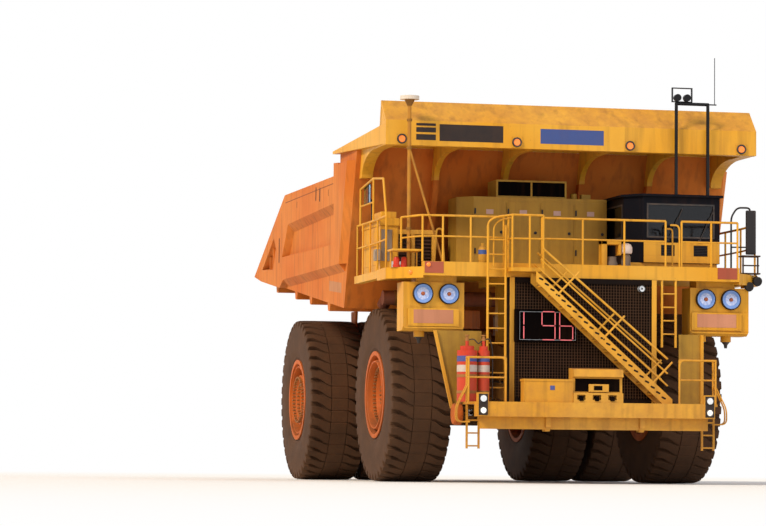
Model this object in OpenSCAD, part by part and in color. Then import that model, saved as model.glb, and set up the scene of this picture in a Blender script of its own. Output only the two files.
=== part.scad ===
// Mining dump truck, rigid frame, two axles, rear dual wheels.
// +Z is up, the truck faces -Y, and +X is its left side.
// The origin is on the ground under the middle of its overall length.
// The modules place things from the front axle's centre line.

/* [Overall] */
// Distance between the axles
wheelbase = 6350; // [6100:10:6600]
// Place of the front axle along the truck, from the middle of its length
front_axle_y = -2920; // [-3000:10:-2800]
// Half the width over the dump body
body_half_w = 4300; // [4200:10:4400]

/* [Wheels] */
// Radius of a tyre under load, out to its lugs
tyre_r = 1860; // [1800:5:1900]
// Width of one tyre
tyre_w = 1330; // [1250:5:1360]
// Radius where the tyre seats on the rim
rim_r = 880; // [840:5:900]
// Middle of a front tyre from the centre line
front_wheel_x = 2975; // [2960:5:3000]
// Middle of the outer rear tyre
rear_outer_x = 3395; // [3380:5:3420]
// Middle of the inner rear tyre
rear_inner_x = 1930; // [1920:5:1960]

/* [Front axle] */
// Steering axis of a front wheel from the centre line
king_x = 1950; // [1930:5:1960]
// Radius of a front suspension cylinder
strut_r = 230; // [200:5:240]
// Steering arm, from the steering axis to the cylinder's eye
steer_arm = 450; // [400:5:480]
// Tie rod arm, from the steering axis back to the rod's eye
tie_arm = 750; // [700:5:800]

/* [Frame] */
// Inner face of a main rail
rail_in = 760; // [740:5:790]
// Outer face of a main rail
rail_out = 1100; // [1050:5:1120]
// Hinge of the dump body behind the rear axle: along the truck
hinge_y = 7300; // [7200:10:7400]
// Height of the dump body's hinge
hinge_z = 3300; // [3250:10:3350]

/* [Dump body] */
// Thickness of the floor and front wall
floor_t = 100; // [60:5:130]
// Thickness of the side plate behind its ribs
side_t = 60; // [40:5:90]
// How far the side ribs stand out
side_rib = 150; // [100:5:180]
// Thickness of the canopy's plates
canopy_t = 80; // [60:5:120]
// Depth of the ribs before the front wall
wall_rib = 230; // [180:5:260]

/* [Deck] */
// Top of the deck
deck_z = 4400; // [4380:5:4450]
// Half the width of the deck
deck_half_w = 4050; // [4000:10:4100]
// Front edge of the deck beam
deck_front_y = -3560; // [-3600:10:-3500]
// Radius of a handrail tube
rail_r = 24; // [18:1:30]
// Height of the handrails above the deck
rail_h = 1080; // [1000:10:1150]

/* [Cab] */
// Inner side of the cab
cab_x0 = 1200; // [1190:10:1300]
// Outer side of the cab
cab_x1 = 3200; // [3150:10:3250]
// Front of the cab
cab_y0 = -2900; // [-2950:10:-2880]
// Back of the cab
cab_y1 = -900; // [-1000:10:-800]
// Floor of the cab
cab_z0 = 4650; // [4640:5:4680]
// Roof of the cab
cab_z1 = 6050; // [6000:10:6100]
// Thickness of the cab's walls
cab_wall = 60; // [40:5:80]
// Width of the cab door
door_w = 700; // [650:10:740]

/* [Front end] */
// Front face of the bumper
bumper_y = -4600; // [-4600:10:-4550]
// Half the width of the bumper
bumper_half_w = 2520; // [2450:10:2560]
// Top of the bumper and its platforms
bumper_z = 1650; // [1620:5:1680]
// Half the width of the radiator
radiator_half_w = 1580; // [1540:10:1600]

/* [Hidden] */

$fn = 48;
axle_z = tyre_r;
// Radial running clearance of pins, shafts and rods
fit = 0.05;
// Gap between moving faces
gap = 5;
// Gap at which a fixed piece lies on its seat
seat = 0.3;

// Half the widths of the deck's front edge and of the canopy, inside their sloped corners
deck_front_half_w = deck_half_w - 640;
canopy_half_w = body_half_w - 250;
// Top of the grid box
grid_box_z = 5450;

// Underside of the dump body's floor at a place along the truck
floor_y0 = 670;
floor_z0 = 3745;
floor_slope = (4810 - floor_z0) / 8930;
// Top of the frame rail beside the engine
function rail_top(y) = 2700 + (y + 2600) * 430 / 3200;
function floor_z(y) = floor_z0 + (y - floor_y0) * floor_slope;

// Hoist cylinders: lower pin on the frame, upper pin on the dump body
hoist_x = 1450;
hoist_low = [wheelbase - 2750, 1600];
hoist_top = [wheelbase - 3050, 3820];
hoist_len = norm(hoist_top - hoist_low);
hoist_lean = atan2(hoist_top[0] - hoist_low[0], hoist_top[1] - hoist_low[1]);
hoist_pin_r = 70;
barrel_r = 200;
stage_r = 160;
rod_r = 115;
barrel_l = 1880;

// Steering cylinders: frame pin and knuckle pin, seen from above
steer_pin = [1000, -1600];
steer_z = 1500;
steer_eye = [king_x - steer_arm, 0];
steer_len = norm(steer_eye - steer_pin);
steer_turn = atan2(steer_eye[0] - steer_pin[0], steer_eye[1] - steer_pin[1]);
steer_barrel_l = 1150;

// Underside of the engine, pin of the rear axle's nose, and the rear suspension's ends
engine_z = 1900;
nose_y = 3840;
rear_strut_y = 6850;
rear_strut_low = 2300;
rear_strut_top = 3050;

yellow = "goldenrod";
ochre = "darkgoldenrod";
orange = "peru";
dark = "dimgray";
steel = "silver";
rubber = "#3a342e";

module from_axle() translate([0, front_axle_y, 0]) children();

module both_sides() {
  children();
  mirror([1, 0, 0]) children();
}

// Box from low corner to high corner
module block(low, high) translate(low) cube(high - low);

// Outline in (y, z) given width from x0 to x1
module across(x0, x1, outline)
  translate([x0, 0, 0]) rotate([90, 0, 90]) linear_extrude(x1 - x0) polygon(outline);

// Outline in (x, y) given height from z0 to z1
module upward(z0, z1, outline)
  translate([0, 0, z0]) linear_extrude(z1 - z0) polygon(outline);

// Round bar along X
module bar_x(x0, x1, y, z, r)
  translate([x0, y, z]) rotate([0, 90, 0]) cylinder(h = x1 - x0, r = r);

// Round bar along Y
module bar_y(x, y0, y1, z, r)
  translate([x, y0, z]) rotate([-90, 0, 0]) cylinder(h = y1 - y0, r = r);

// Round bar along Z
module bar_z(x, y, z0, z1, r)
  translate([x, y, z0]) cylinder(h = z1 - z0, r = r);

// Round bar between two points
module bar(a, b, r) {
  v = b - a;
  translate(a) rotate([0, acos(v[2] / norm(v)), atan2(v[1], v[0])]) cylinder(h = norm(v), r = r);
}

// Bent tube through a list of points, with a weld at each bend
module bent(points, r, weld = 1) {
  for (i = [0 : len(points) - 2]) bar(points[i], points[i + 1], r);
  for (i = [1 : 1 : len(points) - 2]) translate(points[i]) sphere(r = r + weld, $fn = 24);
}

// Ring or disc about X from a profile of (radius, x)
module turned(profile)
  rotate([90, 0, 90]) rotate_extrude($fn = 96) polygon(profile);

// Frame

module rail_profile() {
  across(rail_in, rail_out, [
    [-4400, 1380], [-4400, 1600], [-3120, 1600], [-2950, 1900], [-2600, 2700], [600, 3130],
    [floor_y0, floor_z(floor_y0) - 540], [7150, floor_z(7150) - 540], [7480, 3750], [7620, 3400],
    [7560, 3080], [7000, 2850], [5300, 2700], [4300, 2150], [-1500, 1750], [-3200, 1380]]);
}

module frame() from_axle() color(yellow) {
  both_sides() {
    rail_profile();
    // Pads that carry the dump body
    for (y = [1300, 3000, 4700, 6200])
      across(rail_in + 40, rail_out - 40, [
        [y, floor_z(y) - 545], [y + 400, floor_z(y + 400) - 545],
        [y + 400, floor_z(y + 400) - 520 - seat], [y, floor_z(y) - 520 - seat]]);
    // Arm out to the front suspension cylinder
    across(rail_out, king_x - strut_r + 30, [[-380, 2500], [-300, 3250], [300, 3330], [380, 2500]]);
    // Foot of the hoist cylinder: pedestal on the rail, and plates either side of the eye
    translate([0, hoist_low[0], hoist_low[1]]) {
      block([rail_in, -190, -270], [hoist_x - barrel_r - gap, 190, 570]);
      block([rail_in, -190, -270], [hoist_x + 165, 190, -170]);
      for (x = [hoist_x - 205, hoist_x + 95])
        across(x, hoist_x - 95 + (x > hoist_x ? 260 : 0), [[-190, -270], [-150, 140], [150, 140], [190, -270]]);
      bar_x(hoist_x - 100, hoist_x + 100, 0, 0, hoist_pin_r);
    }
    // Steering cylinder's lug under the rail
    translate([steer_pin[0], steer_pin[1], steer_z]) {
      block([-90, -110, 70], [90, 110, 400]);
      block([-90, -110, -130], [90, 110, -70]);
      block([-90, -180, -130], [90, -110, 400]);
      bar_z(0, 0, -80, 80, 45);
    }
  }
  // Cross members
  block([-rail_in, -4400, 1380], [rail_in, -4150, 1600]);
  for (y = [-1900, 200]) block([-rail_in, y, 1770], [rail_in, y + 300, engine_z - seat]);
  block([-rail_in, 1100, 1800], [rail_in, 1500, 2600]);
  bar_x(-rail_in, rail_in, 3950, 2350, 190);
  bar_x(-rail_in, rail_in, 6500, 3150, 170);
  // Hinge pin of the dump body
  bar_x(-rail_out, rail_out, hinge_y, hinge_z, 100);
  // Lug that holds the nose of the rear axle
  for (x = [-225, 165]) across(x, x + 60, [
    [nose_y - 90, 2350], [nose_y - 120, axle_z - 120], [nose_y + 120, axle_z - 120], [nose_y + 160, 2350]]);
  bar_x(-200, 200, nose_y, axle_z, 60);
  // Upper ends of the rear suspension
  for (x = [-350, 350]) across(x - 60, x + 60, [
    [6500, rear_strut_top], [6500, 3250], [6980, 3200], [6980, rear_strut_top]]);
}

// Front end

// Towing eyes from the centre line
tow_x = 1000;

module bumper() from_axle() color(yellow) {
  difference() {
    union() {
      upward(1350, bumper_z, [
        [-bumper_half_w, bumper_y], [bumper_half_w, bumper_y], [bumper_half_w, bumper_y + 250],
        [1250, bumper_y + 250], [1250, -4400], [-1250, -4400], [-1250, bumper_y + 250],
        [-bumper_half_w, bumper_y + 250]]);
      // Platforms either side and the walkway before the radiator
      both_sides() upward(bumper_z - 50, bumper_z, [
        [1250, bumper_y + 250], [2660, bumper_y + 250], [2660, -3640], [1100, -3640], [1100, -4400], [1250, -4400]]);
      block([-1100, -4400, bumper_z - 50], [1100, -3600 - seat, bumper_z]);
      // Lamp boxes at the ends
      both_sides() block([2290, bumper_y - 20, 1352], [2510, bumper_y + 120, 1830]);
      // Plate set back under the bumper
      block([-2420, -4440, 1100], [2420, -4400, 1352]);
      // Towing eyes
      for (x = [-tow_x, tow_x]) across(x - 50, x + 50, [
        [-4500, 1360], [-4500, 1150], [-4420, 1060], [-4240, 1060], [-4150, 1150], [-4150, 1360]]);
    }
    for (x = [-tow_x, tow_x]) bar_x(x - 60, x + 60, -4330, 1180, 55);
  }
}

module radiator() from_axle() color(dark) {
  // Posts, header and sill round the core
  low = bumper_z - 50 + seat;
  both_sides() block([radiator_half_w - 100, -3600, low], [radiator_half_w, -3200, 4240 - seat]);
  block([-radiator_half_w, -3600, 4130], [radiator_half_w, -3200, 4240 - seat]);
  block([-radiator_half_w, -3600, low], [radiator_half_w, -3200, bumper_z + 100]);
  block([-radiator_half_w + 100, -3480, bumper_z + 100], [radiator_half_w - 100, -3220, 4130]);
  // Upright bars of the guard
  pitch = 140;
  for (i = [-10 : 10]) block([i * pitch - 10, -3560, bumper_z + 100], [i * pitch + 10, -3535, 4130]);
}

module engine() from_axle() color(dark)
  block([-640, -2900, engine_z], [640, 700, 3500]);

module suspension_struts() from_axle() {
  color(yellow) both_sides() {
    difference() {
      union() {
        bar_z(king_x, 0, 2300, 3500, strut_r);
        bar_z(king_x, 0, 2300, 2380, strut_r + 40);
        bar_z(king_x, 0, 3420, 3520, strut_r - 60);
      }
      bar_z(king_x, 0, 2200, 2900, 165 + fit);
      // Room for the frame's arm
      translate([0, -400, 2400]) cube([king_x - strut_r + 30, 800, 1000]);
    }
  }
  color(steel) for (x = [-350, 350]) {
    bar_z(x, rear_strut_y, rear_strut_low + seat, 2750, 95);
    bar_z(x, rear_strut_y, 2700, rear_strut_top - seat, 130);
  }
}

module rear_axle() from_axle() color(ochre) {
  y = wheelbase;
  bar_x(-1150, 1150, y, axle_z, 560);
  both_sides() {
    bar_x(1100, 1200, y, axle_z, 620);
    bar_x(1150, rear_outer_x + 100, y, axle_z, 330);
  }
  // Nose that reaches forward to the frame
  difference() {
    hull() {
      translate([-420, y - 450, axle_z - 330]) cube([840, 100, 660]);
      translate([-130, nose_y - 100, axle_z - 110]) cube([260, 200, 220]);
    }
    bar_x(-200, 200, nose_y, axle_z, 60 + fit);
  }
  // Ears for the suspension
  for (x = [-350, 350]) across(x - 60, x + 60, [
    [y + 300, 1500], [y + 300, rear_strut_low], [7000, rear_strut_low], [7000, 2050]]);
}

// Deck and what stands on it

module deck() from_axle() color(yellow) {
  top = [
    [-deck_front_half_w, deck_front_y], [deck_front_half_w, deck_front_y], [deck_half_w, -2900], [deck_half_w, 120],
    [-deck_half_w, 120], [-deck_half_w, -2900]];
  upward(deck_z - 60, deck_z, top);
  // Edge beam along the front and the chamfered corners
  block([-deck_front_half_w, deck_front_y, 4240], [deck_front_half_w, deck_front_y + 160, deck_z + 130]);
  both_sides() {
    upward(4190, deck_z + 20, [
      [deck_front_half_w, deck_front_y], [deck_half_w, -2900], [deck_half_w, -2100],
      [deck_half_w - 100, -2100], [deck_half_w - 100, -2850], [deck_front_half_w - 60, deck_front_y + 160]]);
    block([deck_half_w - 160, -2200, 4240], [deck_half_w, 100, deck_z - 50]);
    // Beams back to the frame
    block([1120, -3150, 4200], [1280, 100, deck_z - 50]);
    // Uprights on the frame rails
    for (y = [-2550, -800]) across(rail_in + 60, rail_out - 20, [
      [y, rail_top(y) + seat], [y, deck_z - 50], [y + 240, deck_z - 50], [y + 240, rail_top(y + 240) + seat]]);
  }
  // Step before the stair, at its top
  block([-1650, -3950, deck_z - 60], [-930, deck_front_y, deck_z + 20]);
  // Base under the cab
  block([cab_x0 + 40, cab_y0 + 60, deck_z - 20], [cab_x1 - 40, cab_y1 - 60, cab_z0 - seat]);
}

// Posts and rails along a run: the rail's points at foot height, with a post at each
module fence(points, h) {
  top = [for (p = points) p + [0, 0, h]];
  mid = [for (p = points) p + [0, 0, h * 0.55]];
  bent(top, rail_r);
  bent(mid, rail_r * 0.8);
  for (p = points) bar(p, p + [0, 0, h], rail_r * 0.9);
}

module handrails() from_axle() color(yellow) {
  z = deck_z + 130 + seat;
  y = deck_front_y + 40;
  side = deck_half_w - 30;
  fence([[420 - deck_front_half_w, y, z], [-2400, y, z], [-1700, y, z]], rail_h - 130);
  fence([[-880, y, z], [0, y, z], [900, y, z], [1800, y, z]], rail_h - 130);
  fence([[2150, y, z], [2800, y, z], [deck_front_half_w - 30, y, z]], rail_h - 130);
  fence([[-1620, deck_front_y - 40, deck_z + 20 + seat], [-1620, -3920, deck_z + 20 + seat],
    [-1250, -3920, deck_z + 20 + seat], [-960, -3920, deck_z + 20 + seat]], rail_h);
  // Sides of the deck
  fence([[-side, -60, deck_z + seat], [-side, -600, deck_z + seat], [-side, -1300, deck_z + seat],
    [-side, -2000, deck_z + seat], [-side, -2800, deck_z + 20 + seat]], rail_h);
  // High guard beside the mirror
  guard = [for (y = [-330, -1570, -2800]) [-side, y, deck_z + rail_h]];
  bent([guard[0], guard[0] + [0, 0, 770], guard[1] + [0, 0, 900], guard[2] + [0, 300, 820], guard[2]], rail_r);
  bar(guard[1], guard[1] + [0, 0, 900], rail_r * 0.9);
  bar(guard[0] + [0, 0, 400], guard[1] + [0, 0, 400], rail_r * 0.8);
  fence([[side, -60, deck_z + seat], [side, -900, deck_z + seat], [side, -1900, deck_z + seat],
    [side, -2800, deck_z + 20 + seat]], rail_h);
  // Platform rails on the bumper
  for (x = [-1, 1]) fence([[x * 1850, bumper_y + 290, bumper_z + seat], [x * 2630, bumper_y + 290, bumper_z + seat],
    [x * 2630, bumper_y + 450, bumper_z + seat]], 900);
}

// Stair that runs down to the truck's left before the radiator
stair_top = [-1160, deck_z - 100 - seat];
stair_foot = [1700, bumper_z + 40];
stair_y = [-4120, -3660];
steps = 11;

module stair() from_axle() color(yellow) {
  d = stair_foot - stair_top;
  for (y = [stair_y[0], stair_y[1] - 40]) translate([0, y + 40, 0]) rotate([90, 0, 0]) linear_extrude(40)
    polygon([stair_top + [0, 40], stair_top + [0, -180], stair_foot + [-150, -40 + seat], stair_foot + [60, -40 + seat], stair_foot + [60, 60]]);
  for (i = [1 : steps]) {
    p = stair_top + d * i / (steps + 1);
    block([p[0] - 110, stair_y[0] + 40, p[1] - 60], [p[0] + 110, stair_y[1] - 40, p[1] - 25]);
  }
  // Handrail of the open side, three tubes
  for (k = [1, 0.62, 0.3]) {
    a = [stair_top[0] + 150 * k, stair_y[0] + 20, stair_top[1] - 60 + 560 * k];
    b = [stair_foot[0] - 40, stair_y[0] + 20, stair_foot[1] + 100 + 790 * k];
    bar(a, b, rail_r * (k == 1 ? 1 : 0.8));
  }
  for (t = [0.16, 0.5, 0.86]) {
    p = stair_top + d * t;
    bar([p[0] - 40, stair_y[0] + 20, p[1] - 60], [p[0] + 460, stair_y[0] + 20, p[1] + 460], rail_r * 0.9);
  }
  ladders();
}

// Upright ladder: x of both rails, y, bottom and top
module ladder(x0, x1, y, z0, z1) {
  for (x = [x0, x1]) bar_z(x, y, z0, z1, 26);
  n = round((z1 - z0) / 300);
  for (i = [1 : n - 1]) bar_x(x0, x1, y, z0 + (z1 - z0) * i / n, 16);
}

module ladders() {
  ladder(-2080, -1700, -3700, bumper_z + seat, 5300);
  ladder(1720, 2020, -3530, 2840, 4240 - seat);
  // Hanging ladders below the bumper
  both_sides() for (x = [2380, 2630])
    block([x - 20, -4200, 700], [x + 20, -4160, bumper_z - 50 - seat]);
  both_sides() for (z = [740, 1000, 1260]) block([2380, -4200, z], [2630, -4100, z + 30]);
}

module cab_outline() polygon([
  [cab_x0, cab_y0 + 400], [cab_x0 + 300, cab_y0], [cab_x1, cab_y0], [cab_x1, cab_y1], [cab_x0, cab_y1]]);

// The cab's windows as boxes through its walls
win_z0 = cab_z0 + 560;
win_z1 = cab_z1 - 180;
door_y0 = cab_y0 + 550;
door_y1 = door_y0 + door_w;
door_hinge = [cab_x1 + 32, door_y0];
// Gap at the free edge, whose inner corner swings out furthest
door_swing_gap = 12;
door_hinge_z = [cab_z0 + 220, cab_z1 - 420];

module cab_windows(grow) {
  g = grow;
  block([cab_x0 + 420 - g, cab_y0 - 50, win_z0 - g], [cab_x1 - 150 + g, cab_y0 + cab_wall + 50, win_z1 + g]);
  block([cab_x0 + 150 - g, cab_y1 - cab_wall - 50, win_z0 - g], [cab_x1 - 150 + g, cab_y1 + 50, win_z1 + g]);
  block([cab_x0 - 50, cab_y0 + 520 - g, win_z0 - g], [cab_x0 + cab_wall + 50, cab_y1 - 150 + g, win_z1 + g]);
  block([cab_x1 - cab_wall - 50, door_y1 + 130 - g, win_z0 - g], [cab_x1 + 50, cab_y1 - 120 + g, win_z1 + g]);
  block([cab_x1 - cab_wall - 50, cab_y0 + 130 - g, win_z0 - g], [cab_x1 + 50, door_y0 - 100 + g, win_z1 + g]);
}

module cab() from_axle() color("midnightblue") {
  difference() {
    translate([0, 0, cab_z0]) linear_extrude(cab_z1 - cab_z0) cab_outline();
    translate([0, 0, cab_z0 + cab_wall]) linear_extrude(cab_z1 - cab_z0 - 2 * cab_wall)
      offset(delta = -cab_wall) cab_outline();
    cab_windows(0);
    // Doorway
    block([cab_x1 - cab_wall - 10, door_y0, cab_z0 + 100], [cab_x1 + 10, door_y1, cab_z1 - 100]);
  }
  // Hinge pins of the door
  for (z = door_hinge_z) {
    bar_z(door_hinge[0], door_hinge[1], z, z + 115, 12);
    block([cab_x1, door_hinge[1] - 70, z], [door_hinge[0] + 12, door_hinge[1], z + 25]);
  }
  // Roof plate that overhangs
  translate([0, 0, cab_z1]) linear_extrude(50) offset(delta = 60) cab_outline();
}

module cab_glass() from_axle() color("slategray", 0.6) {
  t = 14;
  c = seat;
  m = cab_wall / 2 - t / 2;
  block([cab_x0 + 420 + c, cab_y0 + m, win_z0 + c], [cab_x1 - 150 - c, cab_y0 + m + t, win_z1 - c]);
  block([cab_x0 + 150 + c, cab_y1 - m - t, win_z0 + c], [cab_x1 - 150 - c, cab_y1 - m, win_z1 - c]);
  block([cab_x0 + m, cab_y0 + 520 + c, win_z0 + c], [cab_x0 + m + t, cab_y1 - 150 - c, win_z1 - c]);
  block([cab_x1 - m - t, door_y1 + 130 + c, win_z0 + c], [cab_x1 - m, cab_y1 - 120 - c, win_z1 - c]);
  block([cab_x1 - m - t, cab_y0 + 130 + c, win_z0 + c], [cab_x1 - m, door_y0 - 100 - c, win_z1 - c]);
}

// Driver's seat, dash and steering wheel
module cab_interior() from_axle() color(dark) {
  x = 2500;
  z = cab_z0 + cab_wall + seat;
  block([x - 130, -1550, z], [x + 130, -1250, z + 300]);
  block([x - 260, -1700, z + 300], [x + 260, -1180, z + 420]);
  across(x - 250, x + 250, [[-1280, z + 420], [-1160, z + 420], [-1030, z + 1050], [-1140, z + 1050]]);
  across(cab_x0 + 460, cab_x1 - 140, [[cab_y0 + 90, z], [cab_y0 + 420, z], [cab_y0 + 330, z + 500], [cab_y0 + 90, z + 540]]);
  bar([x, cab_y0 + 300, z + 440], [x, -1820, z + 660], 35);
  translate([x, -1810, z + 665]) rotate([-60, 0, 0]) rotate_extrude($fn = 48) translate([200, 0]) circle(r = 18, $fn = 16);
  translate([x, -1810, z + 665]) rotate([-60, 0, 0]) for (a = [0, 90]) rotate([0, 0, a]) translate([-200, -14, -10]) cube([400, 28, 20]);
}

module cab_door() from_axle() color("midnightblue") {
  difference() {
    block([cab_x1 - cab_wall, door_y0 + gap, cab_z0 + 100 + gap], [cab_x1, door_y1 - door_swing_gap, cab_z1 - 100 - gap]);
    block([cab_x1 - cab_wall - 5, door_y0 + 110, win_z0], [cab_x1 + 5, door_y1 - 110, win_z1]);
  }
  // Straps on the hinge pins
  for (z = door_hinge_z) difference() {
    union() {
      bar_z(door_hinge[0], door_hinge[1], z + 30, z + 110, 26);
      block([cab_x1, door_hinge[1] + gap, z + 30], [door_hinge[0] + 10, door_hinge[1] + 120, z + 110]);
    }
    bar_z(door_hinge[0], door_hinge[1], z, z + 150, 12 + fit);
  }
  // Handle
  block([cab_x1, door_y1 - 90, cab_z0 + 400], [cab_x1 + 30, door_y1 - 50, cab_z0 + 560]);
}

module door_glass() from_axle() color("slategray", 0.6)
  block([cab_x1 - cab_wall / 2 - 7, door_y0 + 110 + seat, win_z0 + seat], [cab_x1 - cab_wall / 2 + 7, door_y1 - 110 - seat, win_z1 - seat]);

module control_cabinet() from_axle() {
  color(ochre) difference() {
    upward(deck_z + seat, 6070, [
      [-2120, -500], [-2120, -1200], [-1820, -1500], [1130, -1500], [1130, -500]]);
    // Joints between the doors
    for (x = [-1100, -350, 400]) block([x - 8, -1510, 4700], [x + 8, -1485, 5950]);
  }
  color(dark) {
    block([-1300, -1400, 6070], [260, -700, 6450]);
    bar_z(480, -1200, 6070, 6200, 70);
    block([640, -1260, 6070], [840, -1120, 6190]);
  }
}

module grid_box() from_axle() {
  side = 100 - deck_half_w;
  color(yellow) difference() {
    block([side, -1950, deck_z + seat], [-2500, 0, grid_box_z]);
    // Louvred openings
    block([side - 10, -1850, 4560], [side + 60, -100, 5330]);
    block([side + 150, -1960, 4560], [-2650, -1890, 5330]);
  }
  color(steel) {
    for (i = [0 : 7]) block([side + 10, -1850, 4575 + i * 95], [side + 60, -100, 4625 + i * 95]);
    for (i = [0 : 7]) block([side + 150, -1940, 4575 + i * 95], [-2650, -1890, 4625 + i * 95]);
  }
}

module air_cleaners() from_axle() color(yellow) both_sides() {
  across(2450, 3740, [[-3200, 3200], [-3200, 4120], [-2640, 4120], [-2640, 3120], [-3080, 3120]]);
  for (x = [2780, 3335]) {
    bar_y(x, -3250, -3200, 3880, 215);
    bar_z(x, -2900, 3000, 3120, 110);
  }
  // Hangers up to the deck
  block([2600, -3150, 4120], [3450, -2700, 4340 - seat]);
}

// Tanks between the front and rear wheels

module tanks() from_axle() color(yellow) {
  // Their room ends before the rear tyres
  front = wheelbase - 3630;
  back = wheelbase - tyre_r - 190;
  // Fuel on the right
  across(-3350, -1750, [[front, 1250], [front, 2900], [front + 130, 3050], [back - 100, 3050], [back, 2700],
    [back, 1350], [back - 150, 1150], [front + 130, 1150]]);
  bar_z(-2700, front + 280, 3050, 3130, 90);
  for (y = [front + 160, back - 190]) block([-1800, y, 1950], [-rail_out - seat, y + 150, 2300]);
  // Hydraulic oil on the left
  bar_y(2500, front + 80, back - 50, 2000, 650);
  bar_z(2500, front + 380, 2600, 2760, 90);
  for (y = [front + 160, back - 220]) block([rail_out + seat, y, 1950], [1950, y + 150, 2300]);
}

module exhaust() from_axle() color("rosybrown") {
  // Outlet of the engine, silencer across the truck and tail pipe
  x = [-400, -3300];
  y = -100;
  z = 3950;
  bar_z(x[0], y, 3500 + seat, z, 130);
  bar_x(x[1] - 170, x[0] + 170, y, z, 155);
  bar_y(x[1], y, 160, z, 130);
}

// Masts above the deck

module masts() from_axle() {
  color("ivory") {
    x = 440 - deck_half_w;
    bar_z(x, -3080, deck_z + seat, 7900, 38);
    bar_z(x, -3080, 7900, 7975, 200);
    bar([x, -3080, 6900], [x + 710, -3300, deck_z + 15], 24);
    bar([x, -3080, 6900], [x + 160, -2500, deck_z + 15], 24);
  }
  color(dark) {
    y = -2905;
    foot = cab_z1 + 50 + seat;
    bent([[2230, y, foot], [2230, y, 8030], [2930, y, 8030], [2930, y, foot]], 35);
    translate([2130, y - 30, 8060]) difference() {
      cube([450, 60, 310]);
      translate([20, -1, 20]) cube([410, 62, 270]);
    }
    for (x = [2250, 2460]) bar_y(x, y - 60, y + 40, 8155, 76);
    bar_x(2930, 3120, y, 8030, 14);
    bar_z(3080, y, 8030, 9030, 8);
  }
}

module mirrors() from_axle() color(dark) {
  block([3550, -3010, 5020], [3830, -2930, 5820]);
  bent([[3690, -2950, 5800], [3690, -2850, 5870], [3560, -2850, 5870], [3560, -2850, deck_z + seat]], 22);
  x = 200 - deck_half_w;
  block([x - 130, -900, 5900], [x - 70, -450, 6340]);
  bent([[x - 80, -700, 6000], [x, -700, 6000], [x, -700, grid_box_z + seat]], 22);
}

module lamps() from_axle() color("white") {
  both_sides() {
    bar_y(2400, bumper_y - 38, bumper_y - 20 - seat, 1470, 65);
    bar_y(2400, bumper_y - 50, bumper_y - 20 - seat, 1710, 65);
  }
  // Number display before the radiator
  block([-1380, -3640, 2950], [-180, -3560 - seat, 3530]);
  bar_y(1250, -3640, -3560 - seat, 4050, 70);
  // Beacons on the corner shelf
  for (x = [200, 360]) bar_z(x - deck_half_w, -2700, deck_z + seat, deck_z + 160, 60);
}

module fire_bottles() from_axle() color("firebrick") {
  for (p = [[-2555, -3880, 205], [-2200, -3850, 125]]) {
    bar_z(p[0], p[1], bumper_z + seat, 2700, p[2]);
    bar_z(p[0], p[1], 2700, 2790, p[2] * 0.7);
    bar_z(p[0], p[1], 2790, 2940, 35);
  }
}

module bumper_boxes() from_axle() color(yellow) {
  block([-1520, -4540, bumper_z + seat], [-500, -4250, 2110]);
  difference() {
    across(-490, 560, [
      [-4580, bumper_z + seat], [-4580, 1850], [-4500, 1850], [-4500, 2160], [-4600, 2180], [-4560, 2330], [-4200, 2360], [-4200, bumper_z + seat]]);
    for (x = [-330, 0, 330]) block([x - 90, -4600, 1710], [x + 90, -4500, 1810]);
  }
}

// Dump body

// Front face of the front wall at a height
function wall_y(z) = 310 - (z - 4730) * 850 / 2420;
// Ribs of the front wall from the centre line, and where their curve under the canopy starts
wall_rib_x = [860, 2400];
fillet_z = 6480;

side_outline = [
  [floor_y0, floor_z0], [9600, 4810], [10490, 4970], [6700, 6690], [1180, 6660], [1180, 7150],
  [-540, 7150], [310, 4730]];

// Sunk panel with sloped edges, from its outline on the ribs and its outline on the plate
module pocket(outer, inner) hull() {
  across(body_half_w, body_half_w + 10, outer);
  across(body_half_w - side_rib, body_half_w - side_rib + 1, inner);
}

module dump_body() from_axle() color(orange) {
  w = body_half_w - side_rib - side_t;
  // Underside of the middle rib
  shelf_z = 4700;
  // Floor
  across(-w, w, [
    [floor_y0, floor_z0], [9600, 4810], [10490, 4970], [10480, 4970 + floor_t], [9590, 4810 + floor_t],
    [floor_y0 - 30, floor_z0 + floor_t]]);
  // Front wall
  across(-w, w, [[floor_y0, floor_z0], [310, 4730], [-540, 7150], [floor_t - 540, 7150],
    [310 + floor_t, 4770], [floor_y0 + floor_t, floor_z0 + 40]]);
  both_sides() {
    across(w, w + side_t, side_outline);
    // Ribs of the side stand out round two sunk panels and over a third that runs out below
    difference() {
      across(w + side_t - 1, body_half_w, [
        [9600, 4810], [10490, 4970], [6700, 6690], [1180, 6660], [1180, 6950], [760, 6920],
        [760, 4900], [wall_y(shelf_z) + 250, shelf_z], [6790, shelf_z], [7260, floor_z(7260)]]);
      pocket([[1140, 6060], [6270, 5970], [6960, 5240], [1140, 5160]],
        [[1190, 5880], [6276, 5790], [6779, 5257], [1190, 5180]]);
      pocket([[8050, 5000], [9450, 5080], [8000, 5750], [7750, 5500]],
        [[8080, 5040], [9320, 5110], [8000, 5670], [7810, 5490]]);
    }
    // Slope under the middle rib
    translate([0, 6790, 0]) rotate([90, 0, 0]) linear_extrude(6790 - wall_y(shelf_z) - 250)
      polygon([[w + side_t - 1, shelf_z + 1], [body_half_w, shelf_z + 1], [w + side_t - 1, shelf_z - 170]]);
    // Bars in the tail's sunk panel
    for (p = [[8350, 5560], [8750, 5380]])
      across(w + side_t - 1, body_half_w - 60, [[p[0], 4990], [p[0] + 60, 4990], [p[0] + 60, p[1]], [p[0], p[1]]]);
    // Corner post with a sloped front
    hull() for (z = [shelf_z, 6880]) upward(z - 1, z, [
      [w + 10, wall_y(z) + 5], [body_half_w, wall_y(z) + 250], [body_half_w, 800], [w + 10, 800]]);
  }
}

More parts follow.
